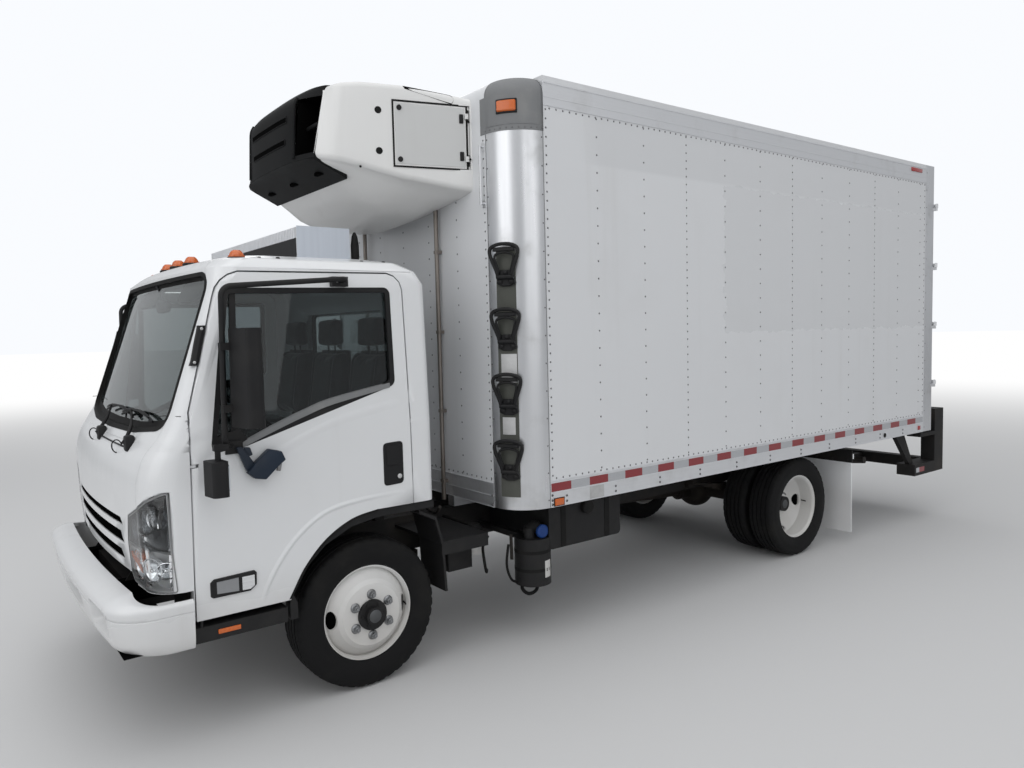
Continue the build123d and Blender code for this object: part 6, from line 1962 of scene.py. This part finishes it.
for k in range(11):
    half = 0.529 + 0.014 * k / 10
    ring = []
    for i in range(25):
        x = half * (i - 12) / 12
        start = nose_front(x, NOSE_LOW_Z)[1]
        y_here = start + (0.151 - start) * k / 10
        flank, flank_z, keel = between(UNIT_BELLIES, max(-0.06, y_here))
        z = keel + (flank_z - keel) * min(1, abs(x) / flank) ** 2 - 0.006
        rise = 0.003 * max(0, 1 - k / 2)
        ring.append((x, y_here, min(NOSE_LOW_Z, z + rise)))
    chin_rows.append(ring)
bm = chin.bm
chin_grid = [[bm.verts.new(point) for point in ring] for ring in chin_rows]
chin_back = [
    [bm.verts.new((x, y, max(z + 0.030, 2.892 if y < 0.05 else 0))) for x, y, z in ring]
    for ring in chin_rows
]
for a, b in zip(chin_grid, chin_grid[1:]):
    for i in range(24):
        bm.faces.new((a[i], a[i + 1], b[i + 1], b[i]))
chin_lip = [bm.verts.new((x, y, 2.887)) for x, y, z in chin_rows[0]]
chin_rims = [(chin_grid[0], chin_lip), (chin_grid[-1], chin_back[-1])]
for k in (0, -1):
    chin_rims.append(([ring[k] for ring in chin_grid], [ring[k] for ring in chin_back]))
for outer, inner in chin_rims:
    for i in range(len(outer) - 1):
        bm.faces.new((outer[i], outer[i + 1], inner[i + 1], inner[i]))
nose_shape.add(chin)
nose_shape.tube([nose_front(0.530 * (k - 14) / 14, NOSE_LOW_Z, 0.001) for k in range(29)], 0.0048, 8)
nose_piece = piece("unit_nose_skin", nose_shape, "chassis", nose_grey, angle=45)
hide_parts("unit_nose")
piece("unit_slot_shadows", slots, "chassis", void_black)
# Dark ovals under the chin: painted shade standing for the vent openings
vent_shades = Shape()
vent_z = between(UNIT_BELLIES, VENT_Y)[2] - 0.007
turns = [2 * pi * k / 16 for k in range(16)]
for x in (0.375, 0.0, -0.375):
    outline = [(x + 0.046 * cos(turn), VENT_Y + 0.030 * sin(turn)) for turn in turns]
    vent_shades.prism("z", outline, vent_z - 0.002, vent_z + 0.010)
piece("chin_vents", vent_shades, "chassis", void_black)

# Roof deflector: a dark front plate that paints the shade under the ribbed strip, bare end plate and a
# horn behind it
deflector_front = Shape().slab(-0.925, 0.602, -0.1925, -0.1905, 2.245, 2.424)
piece("deflector_front", deflector_front, "cab", "black_plastic")
end_plate = Shape().slab(0.6095, 0.6125, -0.189, 0.119, 2.242, 2.489, 0.001, 1)
piece("deflector_end", end_plate, "cab", plate_finish)
horn = Shape()
horn.tube([(0.60, 0.155, z) for z in (2.250, 2.275, 2.330, 2.400, 2.450, 2.472)],
          [0.010, 0.016, 0.023, 0.023, 0.016, 0.006], 16)
piece("roof_horn", horn, "cab", "rubber_parts")


# The stage: a pale floor that fades into the white surround
pale = Finish("pale_floor", specular_ior_level=0.2)
camera_ray = pale.node("ShaderNodeLightPath", {}, {}, "Is Camera Ray")
mottle = pale.noise(0.35, 2) * 0.03
pale.colour(pale.blend(mottle, (0.62, 0.62, 0.62), (0.54, 0.54, 0.54)))
pale.rough(0.85 + mottle)
reach = pale.node("ShaderNodeVectorMath", {"operation": "LENGTH"}, [pale.place], "Value")
white = pale.node("ShaderNodeEmission", {}, {"Color": (1, 1, 1, 1), "Strength": 1.0})
fade = pale.node("ShaderNodeMixShader", {}, {0: reach.rise(7.0, 26.0) * camera_ray})
pale.tree.links.new(pale.shader.outputs[0], fade.socket.node.inputs[1])
pale.tree.links.new(white.socket, fade.socket.node.inputs[2])
pale.tree.links.new(fade.socket, pale.out.inputs[0])
disc = bmesh.new()
bmesh.ops.create_circle(disc, cap_ends=True, segments=96, radius=150)
ground = bpy.data.meshes.new("studio_floor")
disc.to_mesh(ground)
ground.materials.append(pale.material)
floor = added("studio_floor", ground)


# Light and camera
def soft_lamp(name, place, target, size, watts):
    """A wide lamp aimed at a point."""
    data = bpy.data.lights.new(name, "AREA")
    data.shape = "RECTANGLE"
    data.size, data.size_y = size
    data.energy = watts
    lamp = added(name, data)
    lamp.location = place
    aim = Vector(target) - Vector(place)
    lamp.rotation_euler = aim.to_track_quat("-Z", "Y").to_euler()


soft_lamp("sky_panel", (2, -3, 12), (0, 0, 1), (16, 18), 760)
soft_lamp("side_panel", (13, -2, 7), (0, 0, 1.5), (10, 12), 230)
soft_lamp("front_panel", (3, -13, 6), (0, -2, 1.5), (9, 9), 260)
soft_lamp("far_panel", (-12, 4, 7), (0, 0, 1.5), (9, 9), 260)
world = bpy.data.worlds.new("studio")
world.use_nodes = True
bpy.context.scene.world = world
background = world.node_tree.nodes["Background"]
background.inputs["Color"].default_value = (0.95, 0.97, 1.0, 1)
seen_rays = world.node_tree.nodes.new("ShaderNodeLightPath")
level_node = world.node_tree.nodes.new("ShaderNodeMapRange")
level_node.inputs["To Min"].default_value = 0.52
level_node.inputs["To Max"].default_value = 1.0
world.node_tree.links.new(seen_rays.outputs["Is Camera Ray"], level_node.inputs["Value"])
world.node_tree.links.new(level_node.outputs[0], background.inputs["Strength"])

camera_data = bpy.data.cameras.new("photo_view")
camera_data.lens = 27.104
camera_data.sensor_width = 36
camera_data.clip_end = 200
camera = added("photo_view", camera_data)
bpy.context.scene.camera = camera
yaw, pitch, roll = (radians(angle) for angle in (52.8655, -3.9106, -1.3749))
ahead = Vector((-sin(yaw) * cos(pitch), cos(yaw) * cos(pitch), sin(pitch)))
level = Vector((cos(yaw), sin(yaw), 0))
above = level.cross(ahead)
right = level * cos(roll) + above * sin(roll)
upward = above * cos(roll) - level * sin(roll)
camera.matrix_world = Matrix.Translation((4.6379, -1.8107 + FRONT_AXLE_Y, 1.8941)) @ Matrix(
    (right, upward, -ahead)
).transposed().to_4x4()
bpy.context.scene.view_settings.view_transform = "Standard"
